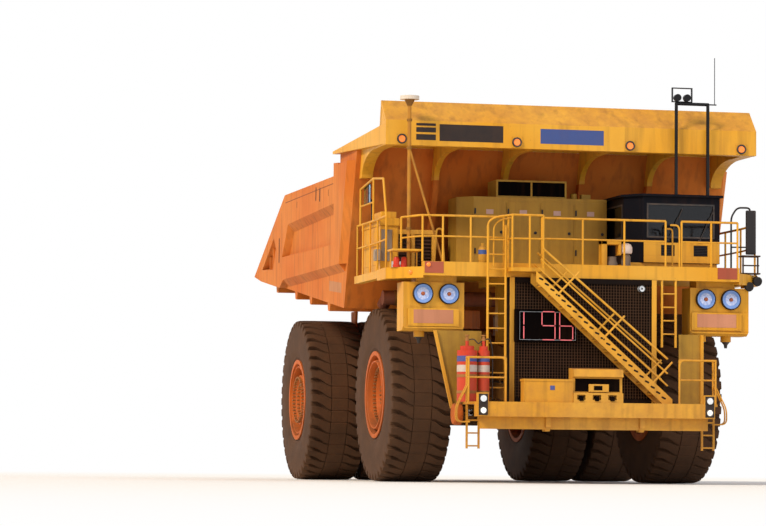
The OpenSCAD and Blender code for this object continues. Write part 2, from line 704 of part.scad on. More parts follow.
// Beams under the floor, ears on the hinge pin and ears of the hoist cylinders
module body_beams() from_axle() color(orange) both_sides() {
  across(rail_in + 20, rail_out - 20, [
    [floor_y0 + 60, floor_z(floor_y0 + 60) - seat], [floor_y0 + 60, floor_z(floor_y0 + 60) - 520],
    [7250, floor_z(7250) - 520], [8900, floor_z(8900) - 60], [8900, floor_z(8900) - seat]]);
  difference() {
    union() {
      across(rail_in - 160, rail_in - gap, [
        [hinge_y - 230, hinge_z], [hinge_y - 450, floor_z(hinge_y - 450) - seat],
        [hinge_y + 650, floor_z(hinge_y + 650) - seat], [hinge_y + 230, hinge_z]]);
      bar_x(rail_in - 160, rail_in - gap, hinge_y, hinge_z, 240);
    }
    bar_x(rail_in - 200, rail_in + 30, hinge_y, hinge_z, 100 + fit);
  }
  for (x = [hoist_x - 150, hoist_x + 95])
    across(x, x + 55, [[hoist_top[0] - 300, floor_z(hoist_top[0] - 300) - seat], [hoist_top[0] - 130, hoist_top[1] - 130],
      [hoist_top[0] + 130, hoist_top[1] - 130], [hoist_top[0] + 300, floor_z(hoist_top[0] + 300) - seat]]);
  // Cross beams out to the sides
  for (y = [2300, 4300, 6000, 8300])
    across(rail_out - 20 + seat, body_half_w - side_rib - 10, [
      [y - 160, floor_z(y - 160) - seat], [y - 90, floor_z(y) - 190], [y + 90, floor_z(y) - 170], [y + 160, floor_z(y + 160) - seat]]);
  // Ribs before the front wall, up to those of the canopy
  for (x = wall_rib_x) across(x - 60, x + 60, [for (p = [[4760, seat], [4760, wall_rib], [fillet_z, wall_rib], [fillet_z, seat]])
    [wall_y(p[0]) - p[1], p[0]]]);
}

module canopy() from_axle() color(yellow) {
  w = canopy_half_w;
  t = canopy_t;
  // Face, slope and roof plates, down to the front wall
  across(-w, w, [
    [-2810, 6980], [-2810, 7500], [-2370, 7950], [floor_t - 540, 7590], [floor_t - 540, 7150 + seat],
    [-540, 7150 + seat], [-540, 7590 - t], [-2370 - t * 0.2, 7950 - t], [t - 2810, 7500 - t * 0.4],
    [t - 2810, 7050], [-2600, 7050], [-2600, 6980]]);
  // Ribs under the canopy that curve down to those of the front wall
  for (r = [for (x = wall_rib_x) [x - 60, x + 60], [w - 250, w - 1]]) both_sides() across(r[0], r[1], concat(
    [[-540 - seat, 7150 + seat], [-500, 7150 + seat], [-500, 7550], [-2370, 7910], [-2770, 7500], [-2770, 7000],
      [-2620, 6985]],
    [for (a = [90 : -15 : 0]) [-1700 + (1700 + wall_y(fillet_z) - wall_rib) * cos(a), fillet_z + seat + 505 * sin(a)]],
    [[wall_y(fillet_z) - seat, fillet_z + seat]]));
  both_sides() difference() {
    hull() {
      translate([w - 30, -2780, 7000]) cube([30, 60, 440]);
      translate([body_half_w - 40, 1240, 7155]) cube([40, 60, 60]);
      translate([w - 30, 1240, 7155]) cube([30, 60, 60]);
    }
    // Room for the side wall's top
    block([w - 100, -600, 6900], [body_half_w - side_rib + seat, 1190, 7150 + seat]);
  }
}

module canopy_lamps() from_axle() color("orange") {
  for (k = [-1, -1 / 3, 1 / 3, 1]) bar_y(k * (canopy_half_w - 342), -2840, -2810 - seat, 7110, 70);
}

// Hoist cylinders, in three stages

module at_hoist() translate([0, hoist_low[0], hoist_low[1]]) rotate([-hoist_lean, 0, 0]) children();

module hoist_barrels() from_axle() color(ochre) both_sides() at_hoist() {
  difference() {
    union() {
      bar_z(hoist_x, 0, 260, barrel_l, barrel_r);
      bar_x(hoist_x - 90, hoist_x + 90, 0, 0, 140);
      translate([hoist_x - 90, -110, 0]) cube([180, 220, 300]);
    }
    bar_z(hoist_x, 0, 300, barrel_l + 50, stage_r + fit);
    bar_x(hoist_x - 100, hoist_x + 100, 0, 0, hoist_pin_r + fit);
  }
}

module hoist_stages() from_axle() color(steel) both_sides() at_hoist() difference() {
  bar_z(hoist_x, 0, 310, barrel_l + 50, stage_r);
  bar_z(hoist_x, 0, 360, barrel_l + 150, rod_r + fit);
}

module hoist_rods() from_axle() color(steel) both_sides() at_hoist() {
  bar_z(hoist_x, 0, 370, hoist_len - 260, rod_r);
  translate([hoist_x - 80, -80, hoist_len - 300]) cube([160, 160, 300]);
  bar_x(hoist_x - 90, hoist_x + 90, 0, hoist_len, 110);
}

// Steering

module knuckle() {
  bar_z(king_x, 0, 1300, 2240, 200);
  bar_z(king_x, 0, 2200, 2880, 165);
  bar_x(king_x, 2250, 0, axle_z, 300);
  bar_x(2200, front_wheel_x + 180, 0, axle_z, 150);
  // Plates that take the steering cylinder's eye
  for (z = [steer_z - 130, steer_z + 70]) hull() {
    bar_z(king_x, 0, z, z + 60, 160);
    bar_z(king_x - steer_arm, 0, z, z + 60, 110);
  }
  // Arm to the tie rod
  hull() {
    bar_z(king_x, 0, steer_z + 70, steer_z + 130, 160);
    bar_z(king_x, tie_arm, steer_z + 70, steer_z + 130, 95);
  }
  bar_z(king_x, tie_arm, steer_z - 70, steer_z + 75, 45);
}

module knuckle_left() from_axle() color(ochre) knuckle();
module knuckle_right() from_axle() color(ochre) mirror([1, 0, 0]) knuckle();

module tie_rod() from_axle() color(steel) difference() {
  union() {
    bar_x(-king_x, king_x, tie_arm, steer_z, 55);
    for (x = [-king_x, king_x]) bar_z(x, tie_arm, steer_z - 65, steer_z + 65, 95);
  }
  bar_z(king_x, tie_arm, steer_z - 100, steer_z + 100, 45 + fit);
  bar_z(-king_x, tie_arm, steer_z - 100, steer_z + 100, 45 + gap);
}

module at_steer() translate([steer_pin[0], steer_pin[1], steer_z]) rotate([0, 0, -steer_turn]) children();

module steering_barrel() at_steer() difference() {
  union() {
    bar_y(0, 150, steer_barrel_l, 0, 85);
    translate([-60, 0, -60]) cube([120, 200, 120]);
    bar_z(0, 0, -65, 65, 85);
  }
  bar_y(0, 200, steer_barrel_l + 50, 0, 48 + fit);
  bar_z(0, 0, -100, 100, 45 + fit);
}

module steering_rod() at_steer() {
  bar_y(0, 600, steer_len - 60, 0, 48);
  bar_z(0, steer_len, -65, 65, 85);
}

module steering_barrel_left() from_axle() color(ochre) steering_barrel();
module steering_barrel_right() from_axle() color(ochre) mirror([1, 0, 0]) steering_barrel();
module steering_rod_left() from_axle() color(steel) steering_rod();
module steering_rod_right() from_axle() color(steel) mirror([1, 0, 0]) steering_rod();

// Wheels, turned about X with the outside at +x

module tyre() {
  h = tyre_w / 2;
  wall = 150;
  turned([
    [rim_r, -h + 60], [rim_r + 70, -h + 60], [rim_r + 240, -h], [tyre_r - 420, -h], [tyre_r - 40, -h + 25], [tyre_r, -h + 110],
    [tyre_r, h - 110], [tyre_r - 40, h - 25], [tyre_r - 420, h], [rim_r + 240, h], [rim_r + 70, h - 60], [rim_r, h - 60],
    [rim_r, h - 60 - wall], [rim_r + 200, h - wall], [tyre_r - 260, h - wall - 60],
    [tyre_r - 260, -h + wall + 60], [rim_r + 200, -h + wall], [rim_r, -h + 60 + wall]]);
}

// Rim with a deep dish: the disc lies a given depth behind the outer edge
module rim(depth, hub_r) {
  h = tyre_w / 2 - 40;
  t = 35;
  disc = h - depth;
  turned([
    [rim_r - t - 60, -h - 12], [rim_r + 55, -h - 12], [rim_r + 55, -h + 20], [rim_r - seat, -h + 20],
    [rim_r - seat, h - 20], [rim_r + 55, h - 20], [rim_r + 55, h + 12], [rim_r - t, h + 12],
    [rim_r - t - 40, h - 150], [rim_r - t - 60, disc + 60], [hub_r + 180, disc + 60], [hub_r + 120, disc + 190],
    [hub_r, disc + 190], [hub_r, disc - 120], [hub_r + 180, disc - 120], [hub_r + 220, disc],
    [rim_r - t - 60, disc]]);
}

module front_tyre_left() from_axle() color(rubber) translate([front_wheel_x, 0, axle_z]) tyre();
module front_tyre_right() from_axle() color(rubber) translate([-front_wheel_x, 0, axle_z]) tyre();
module front_rim() translate([front_wheel_x, 0, axle_z]) rim(420, 150 + fit);
module front_rim_left() from_axle() color(orange) front_rim();
module front_rim_right() from_axle() color(orange) mirror([1, 0, 0]) front_rim();

module rear_tyres() for (x = [rear_inner_x, rear_outer_x]) translate([x, wheelbase, axle_z]) tyre();
module rear_tyres_left() from_axle() color(rubber) rear_tyres();
module rear_tyres_right() from_axle() color(rubber) mirror([1, 0, 0]) rear_tyres();

module rear_rims() {
  translate([rear_outer_x, wheelbase, axle_z]) rim(620, 330 + fit);
  translate([rear_inner_x, wheelbase, axle_z]) mirror([1, 0, 0]) rim(620, 330 + fit);
  // Drum between the two rims
  translate([0, wheelbase, axle_z]) turned([
    [420, rear_inner_x + 115], [420, rear_outer_x - 115], [470, rear_outer_x - 115], [470, rear_inner_x + 115]]);
}
module rear_rims_left() from_axle() color(orange) rear_rims();
module rear_rims_right() from_axle() color(orange) mirror([1, 0, 0]) rear_rims();

frame();
bumper();
radiator();
engine();
suspension_struts();
rear_axle();
deck();
handrails();
stair();
cab();
cab_glass();
cab_interior();
control_cabinet();
grid_box();
air_cleaners();
tanks();
exhaust();
masts();
mirrors();
lamps();
fire_bottles();
bumper_boxes();
cab_door();
door_glass();
dump_body();
body_beams();
canopy();
canopy_lamps();
hoist_barrels();
hoist_stages();
hoist_rods();
knuckle_left();
knuckle_right();
tie_rod();
steering_barrel_left();
steering_barrel_right();
steering_rod_left();
steering_rod_right();
front_tyre_left();
front_tyre_right();
front_rim_left();
front_rim_right();
rear_tyres_left();
rear_tyres_right();
rear_rims_left();
rear_rims_right();
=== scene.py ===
import bmesh
import bpy
import numpy as np
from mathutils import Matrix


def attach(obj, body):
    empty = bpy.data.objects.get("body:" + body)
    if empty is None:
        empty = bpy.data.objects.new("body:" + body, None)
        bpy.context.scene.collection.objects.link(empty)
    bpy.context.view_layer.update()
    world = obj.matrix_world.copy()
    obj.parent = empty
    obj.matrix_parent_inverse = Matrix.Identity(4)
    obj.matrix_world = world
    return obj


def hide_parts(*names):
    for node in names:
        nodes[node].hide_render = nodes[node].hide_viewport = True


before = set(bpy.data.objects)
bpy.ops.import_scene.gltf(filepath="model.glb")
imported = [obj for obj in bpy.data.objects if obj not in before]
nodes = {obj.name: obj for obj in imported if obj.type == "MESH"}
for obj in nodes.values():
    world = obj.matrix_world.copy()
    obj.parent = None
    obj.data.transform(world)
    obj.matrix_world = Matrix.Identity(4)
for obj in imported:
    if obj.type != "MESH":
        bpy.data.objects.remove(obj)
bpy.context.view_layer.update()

# Studio: a pale floor that runs out into a white surround, with soft light from the left,
# as the low sun stands in the picture, and the camera 67 m off at floor level.
# Places are in metres from the ground under the front axle, which is AXLE in the row frame.
AXLE = np.array([0.0, -2.92, 0.0])
camera_place = [-18.642, -66.317, 0.35]
camera_turn = np.radians([90 + 3.66, -0.47, -12.94])
lens_mm, sensor_mm = 148.47, 36.0
floor_half = 300.0
floor_fade = [16.0, 60.0]


def linear(code):
    """sRGB hex as linear light: c / 12.92 up to 0.04045, above it ((c + 0.055) / 1.055) to the power 2.4."""
    c = np.array([int(code[i : i + 2], 16) for i in (1, 3, 5)]) / 255
    return [*np.where(c < 0.04045, c / 12.92, ((c + 0.055) / 1.055) ** 2.4), 1.0]


def add(owner, kind, inputs=(), **settings):
    """Adds one node: settings are its properties, and inputs gives a socket its value or what feeds it, an
    output or a node, which stands for its first output."""
    node = owner.node_tree.nodes.new("ShaderNode" + kind)
    for key, value in settings.items():
        setattr(node, key, value)
    for key, value in dict(inputs).items():
        value = value.outputs[0] if isinstance(value, bpy.types.Node) else value
        if isinstance(value, bpy.types.NodeSocket):
            owner.node_tree.links.new(value, node.inputs[key])
        else:
            node.inputs[key].default_value = value
    return node


def finish_named(name):
    """An empty node material of that name."""
    made = bpy.data.materials.new(name)
    made.use_nodes = True
    made.node_tree.nodes.clear()
    return made


def build(name, points, faces, finish, smooth=None):
    """A mesh object from points in metres from the front axle. Edges up to smooth degrees are shaded round."""
    mesh = bpy.data.meshes.new(name)
    mesh.from_pydata((np.asarray(points, float).reshape(-1, 3) + AXLE).tolist(), [], faces)
    mesh.materials.append(finish)
    if smooth is not None:
        mesh.shade_smooth()
        mesh.set_sharp_from_angle(angle=np.radians(smooth))
    made = bpy.data.objects.new(name, mesh)
    bpy.context.scene.collection.objects.link(made)
    return made


paper = finish_named("pale floor")
spot = add(paper, "TexCoord").outputs["Object"]
away = add(paper, "VectorMath", {0: spot}, operation="LENGTH").outputs["Value"]
fade = add(
    paper, "MapRange", {"Value": away, "From Min": floor_fade[0], "From Max": floor_fade[1]},
    interpolation_type="SMOOTHSTEP")
matt = add(paper, "BsdfDiffuse", {"Color": linear("#e6e4e0")})
glow = add(paper, "Emission", {"Color": linear("#ffffff"), "Strength": 1.0})
both = add(paper, "MixShader", {0: fade, 1: matt, 2: glow})
add(paper, "OutputMaterial", {"Surface": both})
corner = floor_half * np.array([[-1, -1, 0], [1, -1, 0], [1, 1, 0], [-1, 1, 0]])
floor = build("floor", corner - [0, 0, 0.003], [[0, 1, 2, 3]], paper)

world = bpy.data.worlds.new("surround")
world.use_nodes = True
world.node_tree.nodes.clear()
path = add(world, "LightPath")
seen = add(
    world, "Math", {0: path.outputs["Is Camera Ray"], 1: path.outputs["Is Glossy Ray"]}, operation="MAXIMUM")
seen = add(world, "Math", {0: seen, 1: path.outputs["Is Transmission Ray"]}, operation="MAXIMUM")
light = add(world, "Background", {"Color": linear("#f3f5fa"), "Strength": 0.55})
white = add(world, "Background", {"Color": linear("#ffffff"), "Strength": 1.0})
sky = add(world, "MixShader", {0: seen, 1: light, 2: white})
add(world, "OutputWorld", {"Surface": sky})
bpy.context.scene.world = world

for name, turn, strength, tint, spread in (
    ("key", (52, 0, -62), 2.9, "#fff0dc", 14),
    ("fill", (66, 0, 24), 0.85, "#f2f5ff", 60),
    ("back", (60, 0, 165), 0.8, "#ffffff", 60),
):
    lamp = bpy.data.lights.new(name, "SUN")
    lamp.energy, lamp.angle, lamp.color = strength, np.radians(spread), linear(tint)[:3]
    holder = bpy.data.objects.new(name, lamp)
    holder.rotation_euler = np.radians(turn)
    bpy.context.scene.collection.objects.link(holder)

camera = bpy.data.objects.new("camera", bpy.data.cameras.new("camera"))
bpy.context.scene.collection.objects.link(camera)
camera.location = AXLE + camera_place
camera.rotation_euler = camera_turn
camera.data.lens, camera.data.sensor_width = lens_mm, sensor_mm
camera.data.clip_start, camera.data.clip_end = 1.0, 2000.0
bpy.context.scene.camera = camera
bpy.context.scene.view_settings.view_transform = "Standard"

# Frame rails and cross members: welded steel box sections in machine enamel. Down here the
# enamel has lost its gloss under red-brown earth, so ochre is what the eye gets.
def enamel(name, paint, faded, earth, cover, gloss=0.42, worn=0.5, streaked=0.35, ior=1.28):
    """Sprayed enamel with 2 m patches of fading, 300 mm clouds of earth that lie thickest on
    top faces and low down, 50 mm chips and rain streaks 150 mm apart. cover is the earth's
    share on an upright face, worn the share of chipped spots, streaked how dark streaks are, and
    ior is lower where a dark surface lies in shade and gives less shine."""
    made = finish_named(name)
    at = add(made, "TexCoord")
    place = at.outputs["Object"]
    height = add(made, "SeparateXYZ", {0: place}).outputs[2]
    upward = add(made, "SeparateXYZ", {0: at.outputs["Normal"]}).outputs[2]
    patch = add(made, "TexNoise", {"Vector": place, "Scale": 0.45, "Detail": 3.0})
    patch = add(made, "MapRange", {"Value": patch, "From Min": 0.35, "From Max": 0.65})
    tone = add(made, "Mix", {0: patch, 6: linear(paint), 7: linear(faded)}, data_type="RGBA").outputs[2]
    cloud = add(made, "TexNoise", {"Vector": place, "Scale": 3.3, "Detail": 9.0, "Roughness": 0.66})
    top = add(made, "MapRange", {"Value": upward, "From Min": 0.15, "From Max": 0.9, "To Max": 0.55})
    low = add(made, "MapRange", {"Value": height, "From Min": 3.4, "From Max": 0.4, "To Max": 0.5})
    lying = add(made, "Math", {0: top, 1: low}, operation="ADD")
    lying = add(made, "Math", {0: lying, 1: cover}, operation="ADD")
    cloud = add(
        made, "MapRange", {"Value": cloud, "From Min": 0.3, "From Max": 0.68, "To Min": 0.35, "To Max": 1.35})
    earthy = add(made, "Math", {0: lying, 1: cloud}, operation="MULTIPLY", use_clamp=True)
    tone = add(made, "Mix", {0: earthy, 6: tone, 7: linear(earth)}, data_type="RGBA").outputs[2]
    run = add(made, "Mapping", {"Vector": place, "Scale": (6.5, 6.5, 0.45)})
    run = add(made, "TexNoise", {"Vector": run, "Scale": 1.0, "Detail": 5.0})
    run = add(made, "MapRange", {"Value": run, "From Min": 0.5, "From Max": 0.75, "To Max": streaked})
    tone = add(made, "Mix", {0: run, 6: tone, 7: linear("#5b3a22")}, data_type="RGBA").outputs[2]
    chip = add(made, "TexNoise", {"Vector": place, "Scale": 20.0, "Detail": 10.0, "Roughness": 0.6})
    chip = add(made, "MapRange", {"Value": chip, "From Min": 0.68, "From Max": 0.72, "To Max": worn})
    tone = add(made, "Mix", {0: chip, 6: tone, 7: linear("#4a2d1c")}, data_type="RGBA").outputs[2]
    rough = add(made, "MapRange", {"Value": earthy, "To Min": gloss, "To Max": 0.88})
    grain = add(made, "TexNoise", {"Vector": place, "Scale": 26.0, "Detail": 6.0})
    dents = add(made, "Bump", {"Height": grain, "Strength": 0.35, "Distance": 0.006})
    shell = add(made, "BsdfPrincipled", {"Base Color": tone, "Roughness": rough, "Normal": dents, "IOR": ior})
    add(made, "OutputMaterial", {"Surface": shell})
    return made


def coat(finish, *names):
    """Gives CAD nodes their finish."""
    for name in names:
        nodes[name].data.materials[0] = finish


frame_enamel = enamel("dusty frame enamel", "#a8741f", "#96672a", "#7d5030", 0.38, 0.55)
coat(frame_enamel, "frame")

# Axle housing, hoist barrels, suspension and steering parts: cast steel under the same enamel,
# which grease and earth have dulled to ochre.
casting_enamel = enamel("greasy casting enamel", "#a06f22", "#8a5d24", "#6f4729", 0.35, 0.5)
coat(
    casting_enamel, "rear_axle", "suspension_struts", "knuckle_left", "knuckle_right", "tie_rod",
    "steering_barrel_left", "steering_barrel_right", "hoist_barrels")

# Rods of the cylinders: ground hard chrome, a near mirror with a thin oil film and faint
# rings from grinding, 8 mm apart so that they show.
hard_chrome = finish_named("ground hard chrome")
place = add(hard_chrome, "TexCoord").outputs["Object"]
rings = add(
    hard_chrome, "TexWave", {"Vector": place, "Scale": 20.0, "Distortion": 1.5}, bands_direction="Z").outputs[1]
rough = add(hard_chrome, "MapRange", {"Value": rings, "To Min": 0.14, "To Max": 0.26})
shell = add(
    hard_chrome, "BsdfPrincipled", {"Base Color": linear("#c6c7c9"), "Metallic": 1.0, "Roughness": rough})
add(hard_chrome, "OutputMaterial", {"Surface": shell})
coat(hard_chrome, "steering_rod_left", "steering_rod_right", "hoist_stages", "hoist_rods")

# Tyres: off-road radials 1.33 m wide with 42 heavy shoulder bars a side that sweep across into
# a row of flat centre blocks. Each is one skin worked out over angle and section, dusty rubber.
pitches = 42
tread_r, half_w = 1.858, 0.664
bar_gap, centre_gap = 0.047, 0.007
bar_depth, centre_depth = 0.10, 0.028
sweep = 0.15
# Section from bead to the middle: distance from the middle plane, radius, share of the groove's depth
section = np.array([
    [0.460, 0.885, 0], [0.604, 0.885, 0], [0.604, 0.960, 0], [0.618, 0.985, 0], [0.632, 1.010, 0],
    [0.629, 1.030, 0], [0.645, 1.090, 0], [0.657, 1.180, 0], [0.662, 1.300, 0], [0.663, 1.400, 0],
    [0.662, 1.420, 0], [0.661, 1.500, 0], [0.660, 1.600, 0], [0.659, 1.660, 0.1], [0.657, 1.730, 0.5],
    [0.653, 1.800, 0.9], [0.641, 1.838, 1], [0.595, 1.851, 1], [0.500, 1.855, 1], [0.400, 1.857, 1],
    [0.300, 1.858, 0.95], [0.203, 1.858, 0.7], [0.200, 1.835, 0.6], [0.188, 1.835, 0.6],
    [0.185, 1.858, 0.35], [0.100, 1.858, 0.35], [0.0, 1.858, 0.35]])


def skin(rows, columns, round_columns=True):
    """Quads over a grid of points held row by row, with the last column joined to the first."""
    index = np.arange(rows * columns).reshape(rows, columns)
    if round_columns:
        index = np.concatenate([index, index[:, :1]], 1)
    return np.stack(
        [index[:-1, :-1], index[1:, :-1], index[1:, 1:], index[:-1, 1:]], -1).reshape(-1, 4).tolist()


def tyre_skin(middle):
    """radius = section's radius - depth * (1 inside a groove, 0 outside), where a groove is as wide as
    bar_gap at the shoulder and centre_gap in the middle, and its line turns by sweep across each shoulder."""
    half = section[:-1] * [-1, 1, 1]
    rows = np.concatenate([half, section[::-1]])
    x, r, share = rows.T
    outer = np.clip((np.abs(x) - 0.19) / 0.36, 0, 1)
    outer = outer * outer * (3 - 2 * outer)
    line = -np.sign(x) * sweep * outer / tread_r
    wide = (centre_gap + (bar_gap - centre_gap) * outer) / tread_r
    depth = share * (centre_depth + (bar_depth - centre_depth) * outer)
    pitch = 2 * np.pi / pitches
    start = np.arange(pitches) * pitch
    edge = 0.012 / tread_r
    local = np.stack(
        [-wide - edge, -wide, wide, wide + edge, wide * 0 + 0.4 * pitch, wide * 0 + 0.6 * pitch], -1)
    low = np.array([0, 1, 1, 0, 0, 0])
    angle = (line[:, None, None] + start[:, None] + local[:, None, :]).reshape(len(x), -1)
    radius = r[:, None] - (depth[:, None, None] * low * np.ones((pitches, 1))).reshape(len(x), -1)
    points = np.stack([
        middle[0] + np.broadcast_to(x[:, None], angle.shape),
        middle[1] - radius * np.cos(angle),
        middle[2] + radius * np.sin(angle)], -1)
    return points.reshape(-1, 3), np.array(skin(len(x), angle.shape[1]))


tyre_rubber = finish_named("vulcanised rubber under earth")
at = add(tyre_rubber, "TexCoord").outputs["Object"]
cloud = add(tyre_rubber, "TexNoise", {"Vector": at, "Scale": 2.2, "Detail": 8.0, "Roughness": 0.65})
cover = add(
    tyre_rubber, "MapRange", {"Value": cloud, "From Min": 0.3, "From Max": 0.7, "To Min": 0.55, "To Max": 0.95})
tone = add(
    tyre_rubber, "Mix", {0: cover, 6: linear("#211a16"), 7: linear("#573b26")}, data_type="RGBA").outputs[2]
grit = add(tyre_rubber, "TexNoise", {"Vector": at, "Scale": 45.0, "Detail": 8.0, "Roughness": 0.7})
speck = add(tyre_rubber, "MapRange", {"Value": grit, "From Min": 0.55, "From Max": 0.75, "To Max": 0.35})
tone = add(tyre_rubber, "Mix", {0: speck, 6: tone, 7: linear("#7b5839")}, data_type="RGBA").outputs[2]
bump = add(tyre_rubber, "Bump", {"Height": grit, "Strength": 0.5, "Distance": 0.006})
shell = add(tyre_rubber, "BsdfPrincipled", {"Base Color": tone, "Roughness": 0.86, "Normal": bump, "IOR": 1.3})
add(tyre_rubber, "OutputMaterial", {"Surface": shell})
axle_z, rear_y = 1.86, 6.35
tyres = {
    "front_tyre_left": ([[2.975, 0, axle_z]], "front_left_wheel"),
    "front_tyre_right": ([[-2.975, 0, axle_z]], "front_right_wheel"),
    "rear_tyres_left": ([[1.93, rear_y, axle_z], [3.395, rear_y, axle_z]], "rear_left_wheels"),
    "rear_tyres_right": ([[-1.93, rear_y, axle_z], [-3.395, rear_y, axle_z]], "rear_right_wheels"),
}
for node, (middles, body) in tyres.items():
    parts = [tyre_skin(middle) for middle in middles]
    points = np.concatenate([p for p, _ in parts])
    faces = np.concatenate([f + k * len(parts[0][0]) for k, (_, f) in enumerate(parts)])
    tyre = build(node.replace("tyre", "tread"), points, faces.tolist(), tyre_rubber, 32)
    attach(tyre, body)
    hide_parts(node)

# Rims: rolled and welded steel in orange enamel, with a ring of zinc plated wheel nuts on the disc
# and a smaller one on the hub.
rim_enamel = enamel("dusty rim enamel", "#cf6414", "#c65f1c", "#8a4c26", 0.12, 0.5)
coat(rim_enamel, "front_rim_left", "front_rim_right", "rear_rims_left", "rear_rims_right")

wheels_word = {"front": "wheel", "rear": "wheels"}  # how the bodies of each axle's wheels end
nut_r, nut_h = 0.024, 0.065
hub_set_back = 0.07
bolt_rings = {  # x of the disc's face, y, then radius and count of the outer and the inner ring
    "front": (3.441, 0.0, (0.60, 44), (0.245, 16)),
    "rear": (3.961, rear_y, (0.52, 40), (0.36, 24)),
}


def prisms(base, top, floor=True):
    """Solids between outlines held as (solid, corner, xyz): a wall from each base to its top, a lid, and a
    floor unless it is left open. Corners run anticlockwise as seen from the top's side."""
    n = base.shape[1]
    i, first = np.arange(n), 2 * n * np.arange(len(base))[:, None]
    walls = np.stack([i, (i + 1) % n, (i + 1) % n + n, i + n], -1) + first[:, :, None]
    faces = walls.reshape(-1, 4).tolist() + (first + n + i).tolist()
    return np.stack([base, top], 1).reshape(-1, 3), faces + (first + i[::-1]).tolist() if floor else faces


def joined(parts):
    """Several (points, faces) as one, with each part's face numbers raised by the points before it."""
    start = np.cumsum([0] + [len(p) for p, _ in parts])
    faces = [[i + k for i in face] for (_, group), k in zip(parts, start.tolist()) for face in group]
    return np.concatenate([p for p, _ in parts]), faces


def piece(name, parts, finish, smooth=None, bevel=None, body="chassis"):
    """Builds a list of (points, faces) as one object that rides on a body and takes the given finish."""
    made = build(name, *joined(parts), finish, smooth)
    if bevel:
        rounding = made.modifiers.new("rounded edges", "BEVEL")
        rounding.width, rounding.segments, rounding.limit_method = bevel, 2, "ANGLE"
    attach(made, body)
    return made


def nuts(x, y, out, rings):
    """Six-sided nuts on circles about the wheel's axis: centre + ring radius * (cos a, sin a), with corners
    at nut_r about that. Each ring after the first lies hub_set_back further in."""
    radii, counts = zip(*rings)
    turn = np.concatenate([np.arange(n) * 2 * np.pi / n for n in counts])[:, None]
    reach = np.repeat(radii, counts)[:, None]
    set_in = hub_set_back * np.repeat(np.arange(len(rings)), counts)[:, None]
    hexagon = np.arange(6) * np.pi / 3
    flat = np.stack(np.broadcast_arrays(
        x - out * set_in,
        y + reach * np.cos(turn) + nut_r * np.cos(hexagon),
        axle_z + reach * np.sin(turn) + nut_r * np.sin(hexagon)), -1)[:, ::out]
    return prisms(flat, flat + [out * nut_h, 0, 0], floor=False)


zinc = enamel("zinc plated steel nuts", "#b0793c", "#9a6a3a", "#875433", 0.2, 0.4)
for side, hand in (("left", 1), ("right", -1)):
    for axle, (x, y, *rings) in bolt_rings.items():
        ring_nuts = nuts(hand * x, y, hand, rings)
        piece(
            f"{axle}_wheel_nuts_{side}", [ring_nuts], zinc,
            body=f"{axle}_{side}_{wheels_word[axle]}")

# Wheel hubs: a lip inside each outer flange with a gutter between, and a stepped drum that
# carries the wheel; turned steel in the rims' orange.
front_lip = [
    [0.66, 0.24], [0.775, 0.24], [0.775, 0.46], [0.735, 0.60], [0.727, 0.612], [0.703, 0.612],
    [0.695, 0.60], [0.672, 0.40], [0.66, 0.24]]
front_drum = [
    [0.648, 0.24], [0.648, 0.43], [0.640, 0.44], [0.552, 0.44], [0.545, 0.43], [0.50, 0.33], [0.30, 0.31],
    [0.285, 0.33], [0.285, 0.371], [0.21, 0.371], [0.19, 0.36], [0.0, 0.36]]
rear_lip = [
    [0.71, 0.46], [0.80, 0.46], [0.81, 0.90], [0.79, 1.00], [0.782, 1.006], [0.765, 1.006],
    [0.757, 0.99], [0.73, 0.75], [0.71, 0.46]]
rear_drum = [
    [0.58, 0.46], [0.58, 0.95], [0.572, 0.96], [0.468, 0.96], [0.46, 0.95], [0.43, 0.89], [0.30, 0.89],
    [0.29, 0.88], [0.27, 0.72], [0.0, 0.72]]


def turned(profile, centre, axis, sides=32):
    """A profile of (radius, height) turned about an axis: point = centre + height * axis + radius *
    (side * cos a + up * sin a). The profile runs up the outside and in over the top; radius 0 is one point."""
    profile, axis = np.asarray(profile, float), np.asarray(axis, float)
    guess = np.eye(3)[np.argmin(np.abs(axis))]
    side = np.cross(guess, axis)
    side /= np.linalg.norm(side)
    up = np.cross(axis, side)
    a = np.arange(sides) * 2 * np.pi / sides
    round_ = side * np.cos(a)[:, None] + up * np.sin(a)[:, None]
    radius, height = profile.T[:, :, None, None]
    points = (np.asarray(centre) + height * axis + radius * round_).reshape(-1, 3)
    index = np.arange(len(points)).reshape(-1, sides)
    poles = profile[:, 0] == 0
    index[poles] = index[poles, :1]
    used, quads = np.unique(index.ravel()[np.array(skin(len(profile), sides))], return_inverse=True)
    return points[used], [list(dict.fromkeys(quad[::-1])) for quad in quads.reshape(-1, 4).tolist()]


for side, hand in (("left", 1), ("right", -1)):
    for axle, y, profiles in (("front", 0.0, (front_lip, front_drum)), ("rear", rear_y, (rear_lip, rear_drum))):
        hub = [turned(profile, [hand * 3.0, y, axle_z], [hand, 0, 0], 96) for profile in profiles]
        piece(f"{axle}_hub_{side}", hub, rim_enamel, 35, body=f"{axle}_{side}_{wheels_word[axle]}")

# Machine yellow: the deck, stairs, rails and boxes, sprayed at the works and since bleached by
# sun, so the tops go pale and the sheltered faces stay deep.
machine_yellow = enamel("machine yellow enamel", "#dc9a1e", "#dfa638", "#a06a3c", 0.1)
coat(machine_yellow, "bumper", "deck", "handrails", "stair", "air_cleaners", "bumper_boxes")

# Dump body: worn orange-yellow enamel on high-strength plate, rubbed matt by rock. On its sides are
# weld beads along the ribs, two lifting slots with a cut for a hook each side, a long slot in the
# tail, and a thin patch where a mark was sprayed. A bar hangs between each pair of tyres.
body_orange = enamel("rock-worn body enamel", "#ca6a20", "#d37e34", "#a2572c", 0.14, 0.6, 0.6, 0.4, 1.2)
coat(body_orange, "dump_body", "body_beams")


